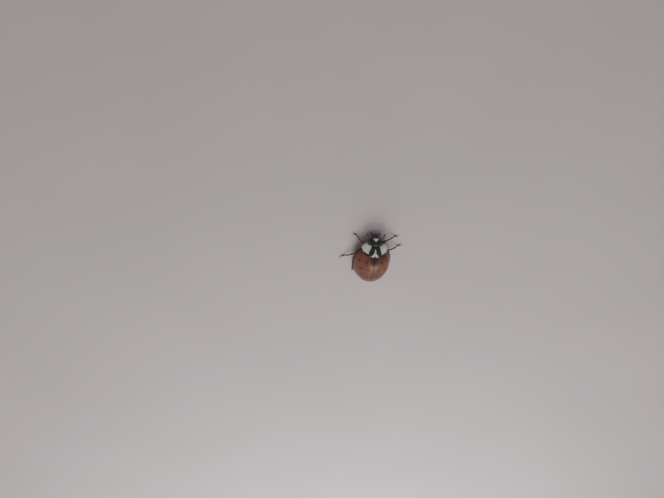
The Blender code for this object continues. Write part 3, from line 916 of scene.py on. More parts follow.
def make_mouth(colours):
    finish = horn_finish(colours)
    lip = Piece("upper_lip", finish, "black_shell", "mouthparts")
    lip.add(face_plate(0.35, 2.3, (0.005, 0.1), (0.16, 0.22), 0.165, 0.055, 30), furred=1.0)
    jaws = Piece("jaws", finish, "black_shell")
    under = Piece("under_lip", finish, "black_shell")
    for _, side in SIDES:
        bite, tooth, lobe, feeler = (mirrored(path, side) for path in (BITE, TOOTH, LOBE, LIP_FEELER))
        jaws.add(limb(bite, (0.1, 0.1, 0.07, 0.014), (0.085, 0.08, 0.05, 0.014), around=22, count=40))
        jaws.add(limb(tooth, (0.05, 0.032, 0.008), (0.035, 0.025, 0.008), around=12, count=18))
        under.add(limb(lobe, (0.09, 0.085, 0.06), (0.06, 0.055, 0.035), around=18, count=24), furred=1.0)
        under.add(*beads(feeler, (0.8, 1, 1.2), (0.024, 0.028, 0.022)), furred=0.6)
    chin = limb(CHIN, (0.3, 0.27, 0.17, 0.1), (0.06, 0.065, 0.055, 0.035), around=26, count=36)
    throat = limb(THROAT, (0.46, 0.44, 0.3), (0.17, 0.17, 0.12), around=26)
    under.add(chin, furred=0.6).add(throat)
    lip.build()
    jaws.build()
    return lip.shells + under.build()


def make_feelers(colours):
    finish, grown = leg_finish(colours, "feeler_shell"), []
    for label, side in SIDES:
        piece = Piece(f"feeler_{label}", finish, "leg", f"antenna_{label}_stem", f"antenna_{label}_club")
        piece.add(*beads(mirrored(FEELER, side), FEELER_LENGTHS, FEELER_RADII, 0.85), furred=1.0)
        grown += piece.mark(dark=lambda points: ramp(points[:, 1], -4.0, -4.3)).build()
    return grown


def make_palps(colours):
    """The palps beside the mouth, each with a tip like a hatchet's blade."""
    finish, grown = leg_finish(colours, "palp_shell"), []
    for label, side in SIDES:
        piece = Piece(f"hatchet_palp_{label}", finish, "leg", f"palp_{label}")
        stem = profile(np.linspace(0, 0.7, 5), mirrored(PALP, side))
        tip = profile(np.linspace(0.66, 1.05, 4), mirrored(PALP, side))
        piece.add(*beads(stem, (0.6, 1.5, 1.2), (0.055, 0.062, 0.066), around=20), furred=0.8)
        blade = limb(tip, (0.05, 0.1, 0.15, 0.17), (0.045, 0.06, 0.06, 0.05), blunt=(4, 9), around=26)
        piece.add(blade, furred=1.0)
        grown += piece.mark(dark=lambda points: ramp(points[:, 1], -4.05, -4.3)).build()
    return grown


# ---- Legs ----


def bowed_line(start, end, rise):
    """A line between two joints that is bowed upwards a little."""
    share = np.linspace(0, 1, 5)[:, None]
    return between(share, start, end) + np.sin(share * math.pi) * (0, 0, rise)


def angle_from(angle, middle):
    """How far an angle round a ring is from another, from -pi to pi."""
    return np.angle(np.exp(1j * (angle - middle)))


def thigh_shaping(share, angle):
    """The groove under a thigh into which its shin folds."""
    return 1 - 0.3 * bell(angle_from(angle, -math.pi / 2), 0.5) * ramp(share, 0.3, 0.6)


def shin_shaping(share, angle):
    """The keel along a shin's outer edge."""
    return 1 + 0.16 * bell(angle_from(angle, math.pi / 2), 0.35) * ramp(share, 0.05, 0.3)


def make_hip(leg, hip, knee, finish):
    """The egg-shaped hip and the ring that joins it to its thigh."""
    piece = Piece(f"{leg}_hip", finish, "black_shell", f"{leg}_coxa")
    radii = 0.96 * COXA_RADII
    shares = 2 * towards_ends(34, 0.97) - 1
    path = stacked(hip[0], hip[1] + shares * radii[1], hip[2])
    egg = loft(path, rounded(shares, 2) * radii[0], rounded(shares, 2) * radii[2], around=44)
    piece.add(egg, furred=below(0.55))
    outwards = unit((knee - hip) * (1, 1, 0))
    start, end = hip + outwards * 0.2 + (0, 0, -0.1), hip + outwards * 0.52 + (0, 0, -0.01)
    ring = limb([start, (start + end) / 2, end], (0.12, 0.15, 0.13), (0.11, 0.14, 0.12), around=26)
    piece.add(ring, furred=0.3)
    return piece.mark(pale=NOWHERE, brown=lambda points: ramp(np.abs(points[:, 0]), 0.6, 1.1)).build()


def make_thigh(leg, hip, knee, finish):
    piece = Piece(f"{leg}_thigh", finish, "leg", f"{leg}_femur")
    reach = unit(knee - hip)
    path = bowed_line(hip + reach * 0.34, knee + reach * 0.09, 0.05)
    widths, heights = (0.1, 0.14, 0.15, 0.13, 0.1), (0.14, 0.205, 0.215, 0.18, 0.125)
    settings = {"count": 54, "around": 40, "power": 2.2, "shaping": thigh_shaping}
    piece.add(limb(path, widths, heights, **settings), furred=0.45)
    piece.mark(dark=lambda points: 0.8 * ramp(np.linalg.norm(points - knee, axis=1), 0.75, 1.6))
    return piece.build()


def make_shin(leg, knee, ankle, finish):
    """A shin, with two spurs at its end on the middle and hind legs. Gives the furred shell."""
    piece = Piece(f"{leg}_shin", finish, "leg", f"{leg}_tibia")
    out = unit(ankle - knee)
    path = bowed_line(knee - out * 0.02, ankle + out * 0.03, 0.035)
    widths, heights = (0.066, 0.07, 0.076, 0.084, 0.09), (0.085, 0.1, 0.108, 0.116, 0.12)
    shin = limb(path, widths, heights, blunt=(4, 7), count=54, around=34, shaping=shin_shaping)
    piece.add(shin, furred=1.0)
    if not leg.startswith("fore"):
        for aside in (-0.035, 0.045):
            root = ankle - out * 0.05 + np.cross(out, (0, 0, 1)) * aside + (0, 0, -0.07)
            spur = [root, root + out * 0.05 + (0, 0, -0.02), root + out * 0.11 + (0, 0, -0.045)]
            piece.add(limb(spur, (0.014, 0.012, 0.004), (0.014, 0.012, 0.004), around=10, count=14))
    piece.mark(dark=lambda points: 0.5 * ramp(np.linalg.norm(points - ankle, axis=1), 0.3, 0.0))
    return piece.build()[:1]


def foot_maker(piece, ankle, toe):
    """A function that adds to a piece a part that lies along a foot.

    The part's path is given by shares of the foot's length, places out aside and heights.
    """
    ahead = (toe - ankle) * (1, 1, 0)
    length = np.linalg.norm(ahead) + 0.22
    ahead = unit(ahead)
    axes = np.array((ahead * length, np.cross((0, 0, 1), ahead), (0, 0, 1)))

    def add(path, widths, heights, around=20, count=30, furred=0.0):
        points = ankle * (1, 1, 0) + np.array(path) @ axes
        piece.add(limb(points, widths, heights, around=around, count=count), furred=furred)

    return add


def make_foot(leg, ankle, toe, finish):
    """A foot of four joints. The second has two lobes, and the third is hidden between them."""
    piece = Piece(f"{leg}_foot", finish, "leg", f"{leg}_tarsus")
    add = foot_maker(piece, ankle, toe)
    first = ((-0.02, 0, 0.28), (0.12, 0, 0.2), (0.26, 0, 0.11), (0.38, 0, 0.075))
    add(first, (0.05, 0.065, 0.09, 0.1), (0.055, 0.055, 0.06, 0.06), 26, 34, 1.0)
    second = ((0.32, 0, 0.105), (0.42, 0, 0.085), (0.55, 0, 0.07))
    add(second, (0.05, 0.085, 0.1), (0.045, 0.055, 0.05), 26, 26, 1.0)
    for side in (-1, 1):
        lobe = ((0.42, 0.03 * side, 0.075), (0.55, 0.065 * side, 0.056), (0.68, 0.085 * side, 0.05))
        add(lobe, (0.045, 0.056, 0.044), (0.04, 0.05, 0.042), 20, 24, 1.0)
    add(((0.5, 0, 0.12), (0.56, 0, 0.14), (0.62, 0, 0.16)), (0.036,) * 3, (0.034,) * 3)
    last = ((0.56, 0, 0.13), (0.68, 0, 0.17), (0.8, 0, 0.17), (0.93, 0, 0.125))
    add(last, (0.026, 0.032, 0.038, 0.042), (0.026, 0.032, 0.038, 0.04), furred=0.7)
    return piece.mark(dark=0.25).build()


def make_claws(leg, ankle, toe, finish):
    """Two hooked claws, each with a tooth on its inner edge."""
    piece = Piece(f"{leg}_claws", finish, "leg")
    add = foot_maker(piece, ankle, toe)
    for side in (-1, 1):
        hook = (
            (0.9, 0.018 * side, 0.13),
            (0.97, 0.05 * side, 0.125),
            (1.02, 0.075 * side, 0.08),
            (1.03, 0.085 * side, 0.014),
        )
        add(hook, (0.026, 0.024, 0.016, 0.004), (0.026, 0.026, 0.018, 0.004), 14, 26)
        tooth = ((0.94, 0.035 * side, 0.11), (0.96, 0.05 * side, 0.08), (0.975, 0.058 * side, 0.045))
        add(tooth, (0.02, 0.014, 0.004), (0.02, 0.014, 0.004), 12, 16)
    piece.build()


def make_leg(leg, joints, finishes):
    """Hip, thigh, shin, foot and claws of one leg. Gives the shells that hairs grow on."""
    hip, knee, ankle, toe = np.array(joints)
    grown = make_hip(leg, hip, knee, finishes["hip"])
    grown = grown + make_thigh(leg, hip, knee, finishes["leg"])
    grown = grown + make_shin(leg, knee, ankle, finishes["leg"])
    grown = grown + make_foot(leg, ankle, toe, finishes["leg"])
    make_claws(leg, ankle, toe, finishes["horn"])
    return grown


# ---- Node trees ----


class NodeMaker:
    """Short ways to add nodes to a tree. A socket among the values given is linked."""

    def __init__(self, tree):
        self.tree = tree

    def node(self, kind, settings=None, sockets=None):
        made = self.tree.nodes.new(kind)
        for name, value in (settings or {}).items():
            setattr(made, name, value)
        for name, value in (sockets or {}).items():
            if isinstance(value, bpy.types.NodeSocket):
                self.tree.links.new(value, made.inputs[name])
            else:
                made.inputs[name].default_value = value
        return made

    def math(self, operation, *values, kind="ShaderNodeMath"):
        return self.node(kind, {"operation": operation}, dict(enumerate(values))).outputs[0]

    def vector(self, operation, *values):
        return self.math(operation, *values, kind="ShaderNodeVectorMath")

    def scaled(self, vector, scale):
        sockets = {0: vector, "Scale": scale}
        return self.node("ShaderNodeVectorMath", {"operation": "SCALE"}, sockets).outputs[0]


# ---- Finishes ----

SOFT = (0.3, 0.7)  # the levels of noise between which most patches come and go


class Finish(NodeMaker):
    """A material being made, with short ways to add what it is mixed from."""

    def __init__(self, name, subsurface_mm=None, **shader):
        self.colour = None
        self.material = bpy.data.materials.new(name)
        self.material.use_nodes = True
        super().__init__(self.material.node_tree)
        self.shader = self.tree.nodes["Principled BSDF"]
        for socket, value in shader.items():
            self.shader.inputs[socket.replace("_", " ")].default_value = value
        if subsurface_mm is not None:
            self.shader.inputs["Subsurface Scale"].default_value = subsurface_mm * MM
        self.millimetres = self.scaled(self.node("ShaderNodeTexCoord").outputs["Object"], 1 / MM)

    def noise(self, per_mm, detail=3.0, roughness=0.5):
        sockets = {"Vector": self.millimetres, "Scale": per_mm, "Detail": detail, "Roughness": roughness}
        return self.node("ShaderNodeTexNoise", None, sockets).outputs[0]

    def cells(self, per_mm):
        """Distance from the middle of the nearest of some scattered cells."""
        sockets = {"Vector": self.millimetres, "Scale": per_mm}
        return self.node("ShaderNodeTexVoronoi", {"feature": "F1"}, sockets).outputs["Distance"]

    def pits(self, sizes, crowding=1.0):
        """Cells as far apart as a wing case's pits, or crowded more or less."""
        return self.cells(crowding * MM / sizes.puncture_spacing)

    def reading(self, name, *limits):
        """What a piece's mesh says of each point under a name, spanned where limits are given."""
        value = self.node("ShaderNodeAttribute", {"attribute_name": name}).outputs["Fac"]
        return self.span(value, *limits) if limits else value

    def times(self, *values):
        return self.math("MULTIPLY", *values)

    def span(self, value, start, end, low=0.0, high=1.0):
        """A smooth passage from low to high while a value goes from start to end."""
        sockets = {"Value": value, 1: start, 2: end, 3: low, 4: high}
        return self.node("ShaderNodeMapRange", {"interpolation_type": "SMOOTHSTEP"}, sockets).outputs[0]

    def patches(self, per_mm, detail, *limits):
        """Soft patches: noise between two of its levels, spanned to a low and a high value."""
        return self.span(self.noise(per_mm, detail), *limits)

    def wobble(self, per_mm, reach, detail=2):
        """Noise from -reach to reach, which makes an edge slightly uneven."""
        return self.patches(per_mm, detail, *SOFT, -reach, reach)

    def uneven(self, per_mm, low, high, detail=3):
        """A roughness that drifts from low to high and back."""
        return self.patches(per_mm, detail, *SOFT, low, high)

    def edge(self, name, wobble, *limits):
        """A reading with a slightly uneven edge, spanned to a low and a high value."""
        return self.span(self.math("ADD", self.reading(name), wobble), *limits)

    def blend(self, share, first, second):
        """A colour between two others, each of them a socket or a plain colour."""
        sockets = {0: share}
        for number, value in ((6, first), (7, second)):
            sockets[number] = value if isinstance(value, bpy.types.NodeSocket) else (*value, 1)
        return self.node("ShaderNodeMix", {"data_type": "RGBA"}, sockets).outputs[2]

    def paint(self, colour, share=None):
        """Lays a colour over those below it, by a share that varies, or as the first one."""
        self.colour = colour if share is None else self.blend(share, self.colour, colour)

    def toned(self, colour, other, *where):
        """A colour that drifts to another in soft patches."""
        return self.blend(self.patches(*where), colour, other)

    def pitted(self, pits, limits, depth, strength=0.6):
        """Relief of pits, deepest up to one distance from their middles and gone at another."""
        return self.relief(self.span(pits, *limits), depth, strength)

    def relief(self, height, depth, strength=0.6, onto=None):
        """Bumps of a depth in millimetres, on top of others where there are some."""
        sockets = {"Height": height, "Distance": depth * MM, "Strength": strength}
        if onto is not None:
            sockets["Normal"] = onto
        return self.node("ShaderNodeBump", None, sockets).outputs[0]

    def finished(self, roughness, normal=None):
        for name, value in (("Base Color", self.colour), ("Roughness", roughness), ("Normal", normal)):
            if value is not None:
                self.tree.links.new(value, self.shader.inputs[name])
        return self.material


def darker(colour, share):
    return tuple(channel * share for channel in colour)


def lighter(colour, share):
    return tuple(between(share, channel, 1.0) for channel in colour)


def wing_case_finish(colours, sizes):
    """Waxy orange-brown shell with faint spots and fine punctures, with painted shade at its margin, seam,
    pits, front ends and rear, and painted highlight flecks right of the seam.
    """
    finish = Finish("wing_case_shell", Coat_Weight=0.4, Coat_Roughness=0.17, Specular_IOR_Level=0.36)
    finish.paint(finish.toned(colours.case, colours.case_deep, 0.7, 3, 0.36, 0.64))
    finish.paint(colours.case_pale, finish.span(finish.noise(3.2, 4, 0.6), 0.5, 0.72, 0.0, 0.35))
    wobble = finish.wobble(5.0, 0.03)
    finish.paint(colours.spot, finish.edge("spot", wobble, -0.07, 0.06, 0.0, 0.62))
    finish.paint(colours.base_spot, finish.edge("base_spot", wobble, -0.16, 0.1, 0.0, 0.86))
    # Painted shade: the front ends, under the shield's hind edge, turn dark red.
    shoulder = finish.times(finish.reading("shoulder"), finish.patches(1.1, 2, 0.35, 0.65))
    finish.paint(colours.case_red_shade, finish.times(shoulder, 0.7))
    # Painted shade: the rear of the wing cases turns darker and browner.
    tail = finish.times(finish.reading("tail"), finish.patches(0.9, 3, *SOFT, 0.6, 1.0))
    finish.paint(colours.case_tail_shade, tail)
    # Painted shade along the margin, partly a darker rim, and painted shade in the seam between the wing
    # cases.
    finish.paint(colours.case_rim_and_shade, finish.reading("margin", 0.1, 0.9, 0.0, 0.75))
    finish.paint(darker(colours.case_rim_and_shade, 0.5), finish.reading("seam", 0.012, 0.05, 0.85, 0.0))
    # Fine pale flecks of painted highlight lie mostly to the right of the seam, where the shell is also
    # rougher.
    flecks = finish.times(finish.patches(5.6, 2, 0.52, 0.72), finish.reading("scuffed"))
    flecks = finish.times(flecks, 0.8)
    finish.paint(colours.glint_fleck, flecks)
    pits = finish.pits(sizes)
    # Painted shade in the fine pits.
    finish.paint(darker(colours.case_deep, 0.35), finish.span(pits, 0.08, 0.24, 0.25, 0.0))
    roughness = finish.math("ADD", finish.uneven(9.0, 0.38, 0.52), finish.times(flecks, 0.15))
    grain = finish.relief(finish.noise(26.0), 0.0022, onto=finish.pitted(pits, (0.03, 0.25), 0.004))
    return finish.finished(roughness, finish.relief(finish.noise(3.8), 0.02, 0.5, grain))


def shield_finish(colours, sizes):
    """Ivory shell with its black M, and painted shade along its rims and in its pits."""
    finish = Finish("shield_shell", 0.08, Coat_Weight=0.12, Coat_Roughness=0.22, Subsurface_Weight=0.12)
    finish.paint(colours.ivory)
    finish.paint(colours.ivory_deep, finish.span(finish.noise(2.4, 4, 0.6), 0.34, 0.68))
    # Painted shade along the shield's lower rim.
    finish.paint(colours.ivory_rim_and_shade, finish.reading("rim", 0.1, 0.9, 0.0, 0.72))
    wobble = finish.wobble(5.0, 0.022)
    finish.paint(darker(colours.ivory_rim_and_shade, 0.7), finish.edge("black_mark", wobble, -0.16, 0.0, 0.0, 0.35))
    ink = finish.toned(colours.black, lighter(colours.black, 0.02), 5.0, 3, 0.4, 0.7)
    # The black also paints the shade band at the hind edge.
    finish.paint(ink, finish.edge("black_mark", wobble, -0.022, 0.03))
    pits = finish.pits(sizes, 1.2)
    # Painted shade in the fine pits.
    finish.paint(darker(colours.ivory_rim_and_shade, 0.4), finish.span(pits, 0.08, 0.26, 0.2, 0.0))
    pitted = finish.pitted(pits, (0.03, 0.22), 0.0025, 0.5)
    grain = finish.relief(finish.noise(30.0), 0.0018, onto=pitted)
    return finish.finished(finish.uneven(10.0, 0.36, 0.5), grain)


def black_shell_finish(colours, sizes, name="black_shell", tone=None):
    """Shining dark shell, with the pale patch of the face where a piece has one."""
    finish = Finish(name, Coat_Weight=0.12, Coat_Roughness=0.12)
    tone = tone or colours.black
    finish.paint(finish.toned(tone, lighter(tone, 0.02), 4.0, 4, 0.4, 0.7))
    wobble = finish.wobble(6.0, 0.014)
    face = finish.toned(colours.face, darker(colours.face, 0.72), 8.0, 3, 0.35, 0.7)
    finish.paint(face, finish.edge("pale", wobble, -0.012, 0.03))
    pitted = finish.pitted(finish.pits(sizes, 1.1), (0.03, 0.22), 0.003)
    grain = finish.relief(finish.noise(34.0, 2), 0.0016, onto=pitted)
    return finish.finished(finish.uneven(11.0, 0.26, 0.38), grain)


def underside_finish(colours, sizes):
    """Black plates that turn brown towards the sides, with a pale plate where there is one."""
    finish = Finish("underside_shell", Coat_Weight=0.2, Coat_Roughness=0.2)
    brown = finish.toned(colours.belly, darker(colours.belly, 0.6), 2.6, 4, 0.35, 0.65)
    wobble = finish.wobble(3.0, 0.16, 3)
    finish.paint(colours.black)
    finish.paint(brown, finish.edge("brown", wobble, 0.25, 0.75))
    finish.paint(colours.ivory_deep, finish.edge("pale", finish.times(wobble, 0.2), -0.02, 0.03))
    pits = finish.pits(sizes, 0.8)
    # Painted shade in the pits.
    finish.paint(colours.black, finish.span(pits, 0.1, 0.28, 0.25, 0.0))
    grain = finish.relief(finish.noise(28.0), 0.002, onto=finish.pitted(pits, (0.05, 0.32), 0.006, 0.7))
    return finish.finished(finish.uneven(12.0, 0.34, 0.5), grain)


def leg_finish(colours, name="leg_shell"):
    """Reddish-brown shell, darker at the joints and where a piece says."""
    finish = Finish(name, 0.05, Coat_Weight=0.2, Coat_Roughness=0.22, Subsurface_Weight=0.08)
    finish.paint(finish.toned(colours.leg, darker(colours.leg, 0.62), 2.8, 4, 0.35, 0.65))
    away = finish.math("ABSOLUTE", finish.math("ADD", finish.reading("along"), -0.5))
    finish.paint(colours.joint, finish.span(away, 0.36, 0.5, 0.0, 0.7))
    finish.paint(darker(colours.joint, 0.55), finish.reading("dark"))
    scaly = finish.pitted(finish.cells(30.0), (0.0, 0.5), 0.0025)
    waves = finish.relief(finish.noise(9.0), 0.004, 0.5, scaly)
    return finish.finished(finish.uneven(14.0, 0.32, 0.48), waves)


def horn_finish(colours):
    """Dark, hard brown horn of the jaws, lips and claws, paler where it thins to a tip."""
    finish = Finish("dark_horn", Coat_Weight=0.3, Coat_Roughness=0.12)
    finish.paint(finish.toned(colours.horn, darker(colours.horn, 0.5), 6.0, 3, 0.35, 0.7))
    finish.paint(darker(colours.leg, 0.9), finish.reading("along", 0.6, 1.0, 0.0, 0.45))
    grain = finish.relief(finish.noise(30.0), 0.002, 0.7)
    return finish.finished(finish.uneven(16.0, 0.24, 0.4), grain)


def eye_finish(colours):
    """Black, wet-looking facets with a faint cool sheen that varies over the eye."""
    finish = Finish("eye_facets", Coat_Weight=0.7, Coat_Roughness=0.06, IOR=1.56)
    finish.paint(finish.toned(colours.eye, lighter(colours.eye, 0.03), 5.0, 3, 0.35, 0.65))
    grain = finish.relief(finish.noise(60.0, 2), 0.0006, 0.5)
    return finish.finished(finish.uneven(12.0, 0.12, 0.24, 2), grain)


def hair_finish(colours):
    """Pale golden hairs, a little darker at their roots."""
    finish = Finish("fine_hair", Coat_Weight=0.0)
    finish.paint(finish.toned(colours.hair, darker(colours.hair, 0.6), 3.0, 3, *SOFT))
    finish.paint(darker(colours.hair, 0.3), finish.reading("hair_share", 0.0, 0.5, 0.6, 0.0))
    return finish.finished(finish.uneven(20.0, 0.36, 0.5, 2))


def floor_finish(colours):
    """Plain pale studio floor with the slightest unevenness."""
    finish = Finish("pale_floor", Roughness=0.7, Specular_IOR_Level=0.25)
    finish.paint(finish.toned(colours.floor, darker(colours.floor, 0.96), 0.05, 2, *SOFT))
    return finish.finished(finish.uneven(0.4, 0.62, 0.78, 2))


# ---- Eyes and hairs ----

FACET_TOP = 0.62  # how much of each facet its raised top takes up
HAIR_PATCH = 0.003  # size of a hair's patch on the unwrap
HAIR_SEED = 7
HAIR_BEND = 0.3  # how far aside a hair's tip is bent, as a share of its length
HAIR_STRAY = 0.3  # how far it leans off at random
HAIR_SHORTEST, HAIR_LONGEST = 0.6, 1.25  # times the usual length
SOLE_HAIR_LIFT = 0.012  # hairs that would hang lower than this bend to lie on the floor
SOLE_HAIR_SPREAD = 3  # how gently they do: the deeper a point was, the nearer it is to the floor
TILE_MARGIN = 0.03  # bare share at each edge of a shell's tile on the unwrap


class Tree(NodeMaker):
    """A geometry node tree being built, with named inputs."""

    def __init__(self, name, **inputs):
        super().__init__(bpy.data.node_groups.new(name, "GeometryNodeTree"))
        faces = self.tree.interface
        faces.new_socket("Geometry", in_out="INPUT", socket_type="NodeSocketGeometry")
        self.sockets = {}
        for label, kind in inputs.items():
            made = faces.new_socket(label, in_out="INPUT", socket_type=f"NodeSocket{kind}")
            self.sockets[label] = made.identifier
        faces.new_socket("Geometry", in_out="OUTPUT", socket_type="NodeSocketGeometry")
        self.given = self.tree.nodes.new("NodeGroupInput").outputs

    def part(self, kind, settings=None, **sockets):
        """A geometry node's outputs. The sockets' names are written with _ for a space."""
        named = {name.replace("_", " "): value for name, value in sockets.items()}
        return self.node(f"GeometryNode{kind}", settings, named).outputs

    def attribute(self, name, kind="FLOAT"):
        return self.part("InputNamedAttribute", {"data_type": kind}, Name=name)[0]

    def stored(self, geometry, name, value, kind="FLOAT", domain="POINT"):
        settings = {"data_type": kind, "domain": domain}
        return self.part("StoreNamedAttribute", settings, Geometry=geometry, Name=name, Value=value)[0]

    def end(self, geometry):
        """Ends the tree in Realize Instances and Set Material."""
        real = self.part("RealizeInstances", Geometry=geometry)[0]
        painted = self.part("SetMaterial", Geometry=real, Material=self.given["Finish"])[0]
        self.tree.links.new(painted, self.tree.nodes.new("NodeGroupOutput").inputs[0])

    def apply(self, mesh, name, **values):
        """Runs the tree on a mesh, removes that, and gives the plain mesh that comes out."""
        bearer = bpy.data.objects.new(f"{name}_bed", mesh)
        bpy.context.scene.collection.objects.link(bearer)
        modifier = bearer.modifiers.new(name, "NODES")
        modifier.node_group = self.tree
        for label, value in values.items():
            modifier[self.sockets[label]] = value
        graph = bpy.context.evaluated_depsgraph_get()
        made = bpy.data.meshes.new_from_object(bearer.evaluated_get(graph), depsgraph=graph)
        made.name = name
        bearer.modifiers.remove(modifier)
        bpy.data.objects.remove(bearer)
        bpy.data.meshes.remove(mesh)
        if not made.polygons:
            raise RuntimeError(f"{name} came out with no faces")
        return made


def facet_tree():
    """An egg covered in six-sided facets, each a low lens."""
    tree = Tree(
        "compound_eye", Fineness="Int", Centre="Vector", Radii="Vector", Bulge="Float", Finish="Material"
    )
    given = tree.given
    ball = tree.part("MeshIcoSphere", Radius=1.0, Subdivisions=given["Fineness"])[0]
    facets = tree.part("DualMesh", Mesh=ball)[0]
    spot = tree.part("InputPosition")[0]
    place = tree.vector("ADD", tree.vector("MULTIPLY", spot, given["Radii"]), given["Centre"])
    moved = tree.part("SetPosition", Geometry=facets, Position=place)[0]
    by_face = {"mode": "FACES"}
    raised = tree.part("ExtrudeMesh", by_face, Mesh=moved, Offset_Scale=given["Bulge"], Individual=True)
    tops = {"Geometry": raised["Mesh"], "Selection": raised["Top"], "Scale": FACET_TOP}
    tree.end(tree.part("ScaleElements", {"domain": "FACE"}, **tops)[0])
    return tree


def bent_hair(tree):
    """One tapering hair that bends aside, with how far along and across it each point lies."""
    given = tree.given
    cone = tree.part(
        "MeshCone",
        {"fill_type": "TRIANGLE_FAN"},
        Vertices=3,
        Side_Segments=2,
        Radius_Top=0.0,
        Radius_Bottom=given["Thickness"],
        Depth=given["Length"],
    )[0]
    apart = tree.node("ShaderNodeSeparateXYZ", None, {0: tree.part("InputPosition")[0]}).outputs
    share = tree.math("DIVIDE", apart["Z"], given["Length"])
    across = tree.math("DIVIDE", apart["X"], tree.math("MULTIPLY", given["Thickness"], 2.0))
    bend = tree.math("MULTIPLY", given["Length"], HAIR_BEND)
    bend = tree.math("MULTIPLY", tree.math("MULTIPLY", share, share), bend)
    aside = tree.node("ShaderNodeCombineXYZ", None, {"X": bend}).outputs[0]
    curved = tree.part("SetPosition", Geometry=cone, Offset=aside)[0]
    return tree.stored(tree.stored(curved, "hair_share", share), "hair_across", across)


def hair_tree():
    """Short tapering hairs scattered over a bed, leaning the way its attribute says."""
    tree = Tree(
        "fine_hairs",
        Length="Float",
        Thickness="Float",
        Density="Float",
        Lean="Float",
        Patch="Float",
        Seed="Int",
        Finish="Material",
    )
    given = tree.given
    density = tree.math("MULTIPLY", tree.attribute("furred"), given["Density"])
    bed, seed = given["Geometry"], given["Seed"]
    roots = tree.part("DistributePointsOnFaces", Mesh=bed, Density=density, Seed=seed)
    straying = {"Min": (-HAIR_STRAY,) * 3, "Max": (HAIR_STRAY,) * 3, "Seed": seed}
    stray = tree.node("FunctionNodeRandomValue", {"data_type": "FLOAT_VECTOR"}, straying).outputs[0]
    leaning = tree.scaled(tree.attribute("lie", "FLOAT_VECTOR"), given["Lean"])
    way = tree.vector("ADD", tree.vector("ADD", roots["Normal"], leaning), stray)
    turn = tree.node("FunctionNodeAlignRotationToVector", {"axis": "Z"}, {"Vector": way}).outputs[0]
    sizing = {2: HAIR_SHORTEST, 3: HAIR_LONGEST, "Seed": seed}
    size = tree.node("FunctionNodeRandomValue", {"data_type": "FLOAT"}, sizing).outputs[1]
    hair, points = bent_hair(tree), roots["Points"]
    hairs = tree.part("InstanceOnPoints", Points=points, Instance=hair, Rotation=turn, Scale=size)
    real = tree.part("RealizeInstances", Geometry=hairs[0])[0]
    # Each hair lies on the unwrap as a small upright patch at its root's place.
    local = {"X": tree.attribute("hair_across"), "Y": tree.attribute("hair_share")}
    patch = tree.scaled(tree.node("ShaderNodeCombineXYZ", None, local).outputs[0], given["Patch"])
    place = tree.vector("ADD", tree.attribute("skin_place", "FLOAT_VECTOR"), patch)
    tree.end(tree.stored(real, "OFBake", place, "FLOAT2", "CORNER"))
    return tree


def make_eyes(sizes, colours):
    tree, finish = facet_tree(), eye_finish(colours)
    for label, side in SIDES:
        name = f"compound_eye_{label}"
        mesh = tree.apply(
            bpy.data.meshes.new("eye_bed"),
            name,
            Fineness=sizes.facet_fineness,
            Centre=tuple(mirrored(EYE_CENTRE, side) * MM + START),
            Radii=tuple(EYE_RADII * MM),
            Bulge=sizes.facet_bulge,
            Finish=finish,
        )
        settle(mesh, name, finish, "eye", f"eye_{label}")


def rest_on_floor(mesh):
    """Bend the hairs that would reach through the floor so that they lie on it."""
    places = np.empty(len(mesh.vertices) * 3, np.float32)
    mesh.vertices.foreach_get("co", places)
    height = places[2::3] / MM
    bent = SOLE_HAIR_LIFT * np.exp((np.minimum(height / SOLE_HAIR_LIFT, 1) - 1) / SOLE_HAIR_SPREAD)
    places[2::3] = np.where(height < SOLE_HAIR_LIFT, bent, height) * MM
    mesh.vertices.foreach_set("co", places)


def make_hairs(name, slot, shells, sizes, finish, length, lean, density):
    """Hairs on the given shells, as one mesh with its place on their unwrap.

    Their length and density are times the usual ones, and lean is how far they lie over.
    """
    if not shells:
        raise RuntimeError(f"{name} has nothing to grow on: make the pieces under it first")
    bed = shells_mesh(f"{name}_bed", shells)
    store(bed, "furred", np.concatenate([shell.furred for shell in shells]))
    store(bed, "lie", np.concatenate([shell.lie for shell in shells]), "FLOAT_VECTOR")
    tiles = math.ceil(math.sqrt(len(shells)))
    places = []
    for number, shell in enumerate(shells):
        corner = np.array((number % tiles, number // tiles)) / tiles
        for place in shell.places:
            inset = between(place, TILE_MARGIN, 1 - TILE_MARGIN)
            places.append((corner + inset / tiles).reshape(-1, 2))
    layer = bed.uv_layers.new(name="skin_place")
    layer.data.foreach_set("uv", np.concatenate(places).astype(np.float32).ravel())
    mesh = hair_tree().apply(
        bed,
        name,
        Length=sizes.hair_length * length,
        Thickness=sizes.hair_thickness,
        Density=sizes.hair_density * density,
        Lean=lean,
        Patch=HAIR_PATCH,
        Seed=HAIR_SEED,
        Finish=finish,
    )
    for attribute in ("furred", "lie", "hair_across", "skin_place"):
        if attribute in mesh.attributes:
            mesh.attributes.remove(mesh.attributes[attribute])
    rest_on_floor(mesh)
    settle(mesh, name, finish, slot)


# ---- Studio ----

LENS = 30.36  # millimetres, on a sensor of the width below
SENSOR_WIDTH = 36.0
NEAREST_SEEN, FARTHEST_SEEN = 0.0005, 20.0  # metres
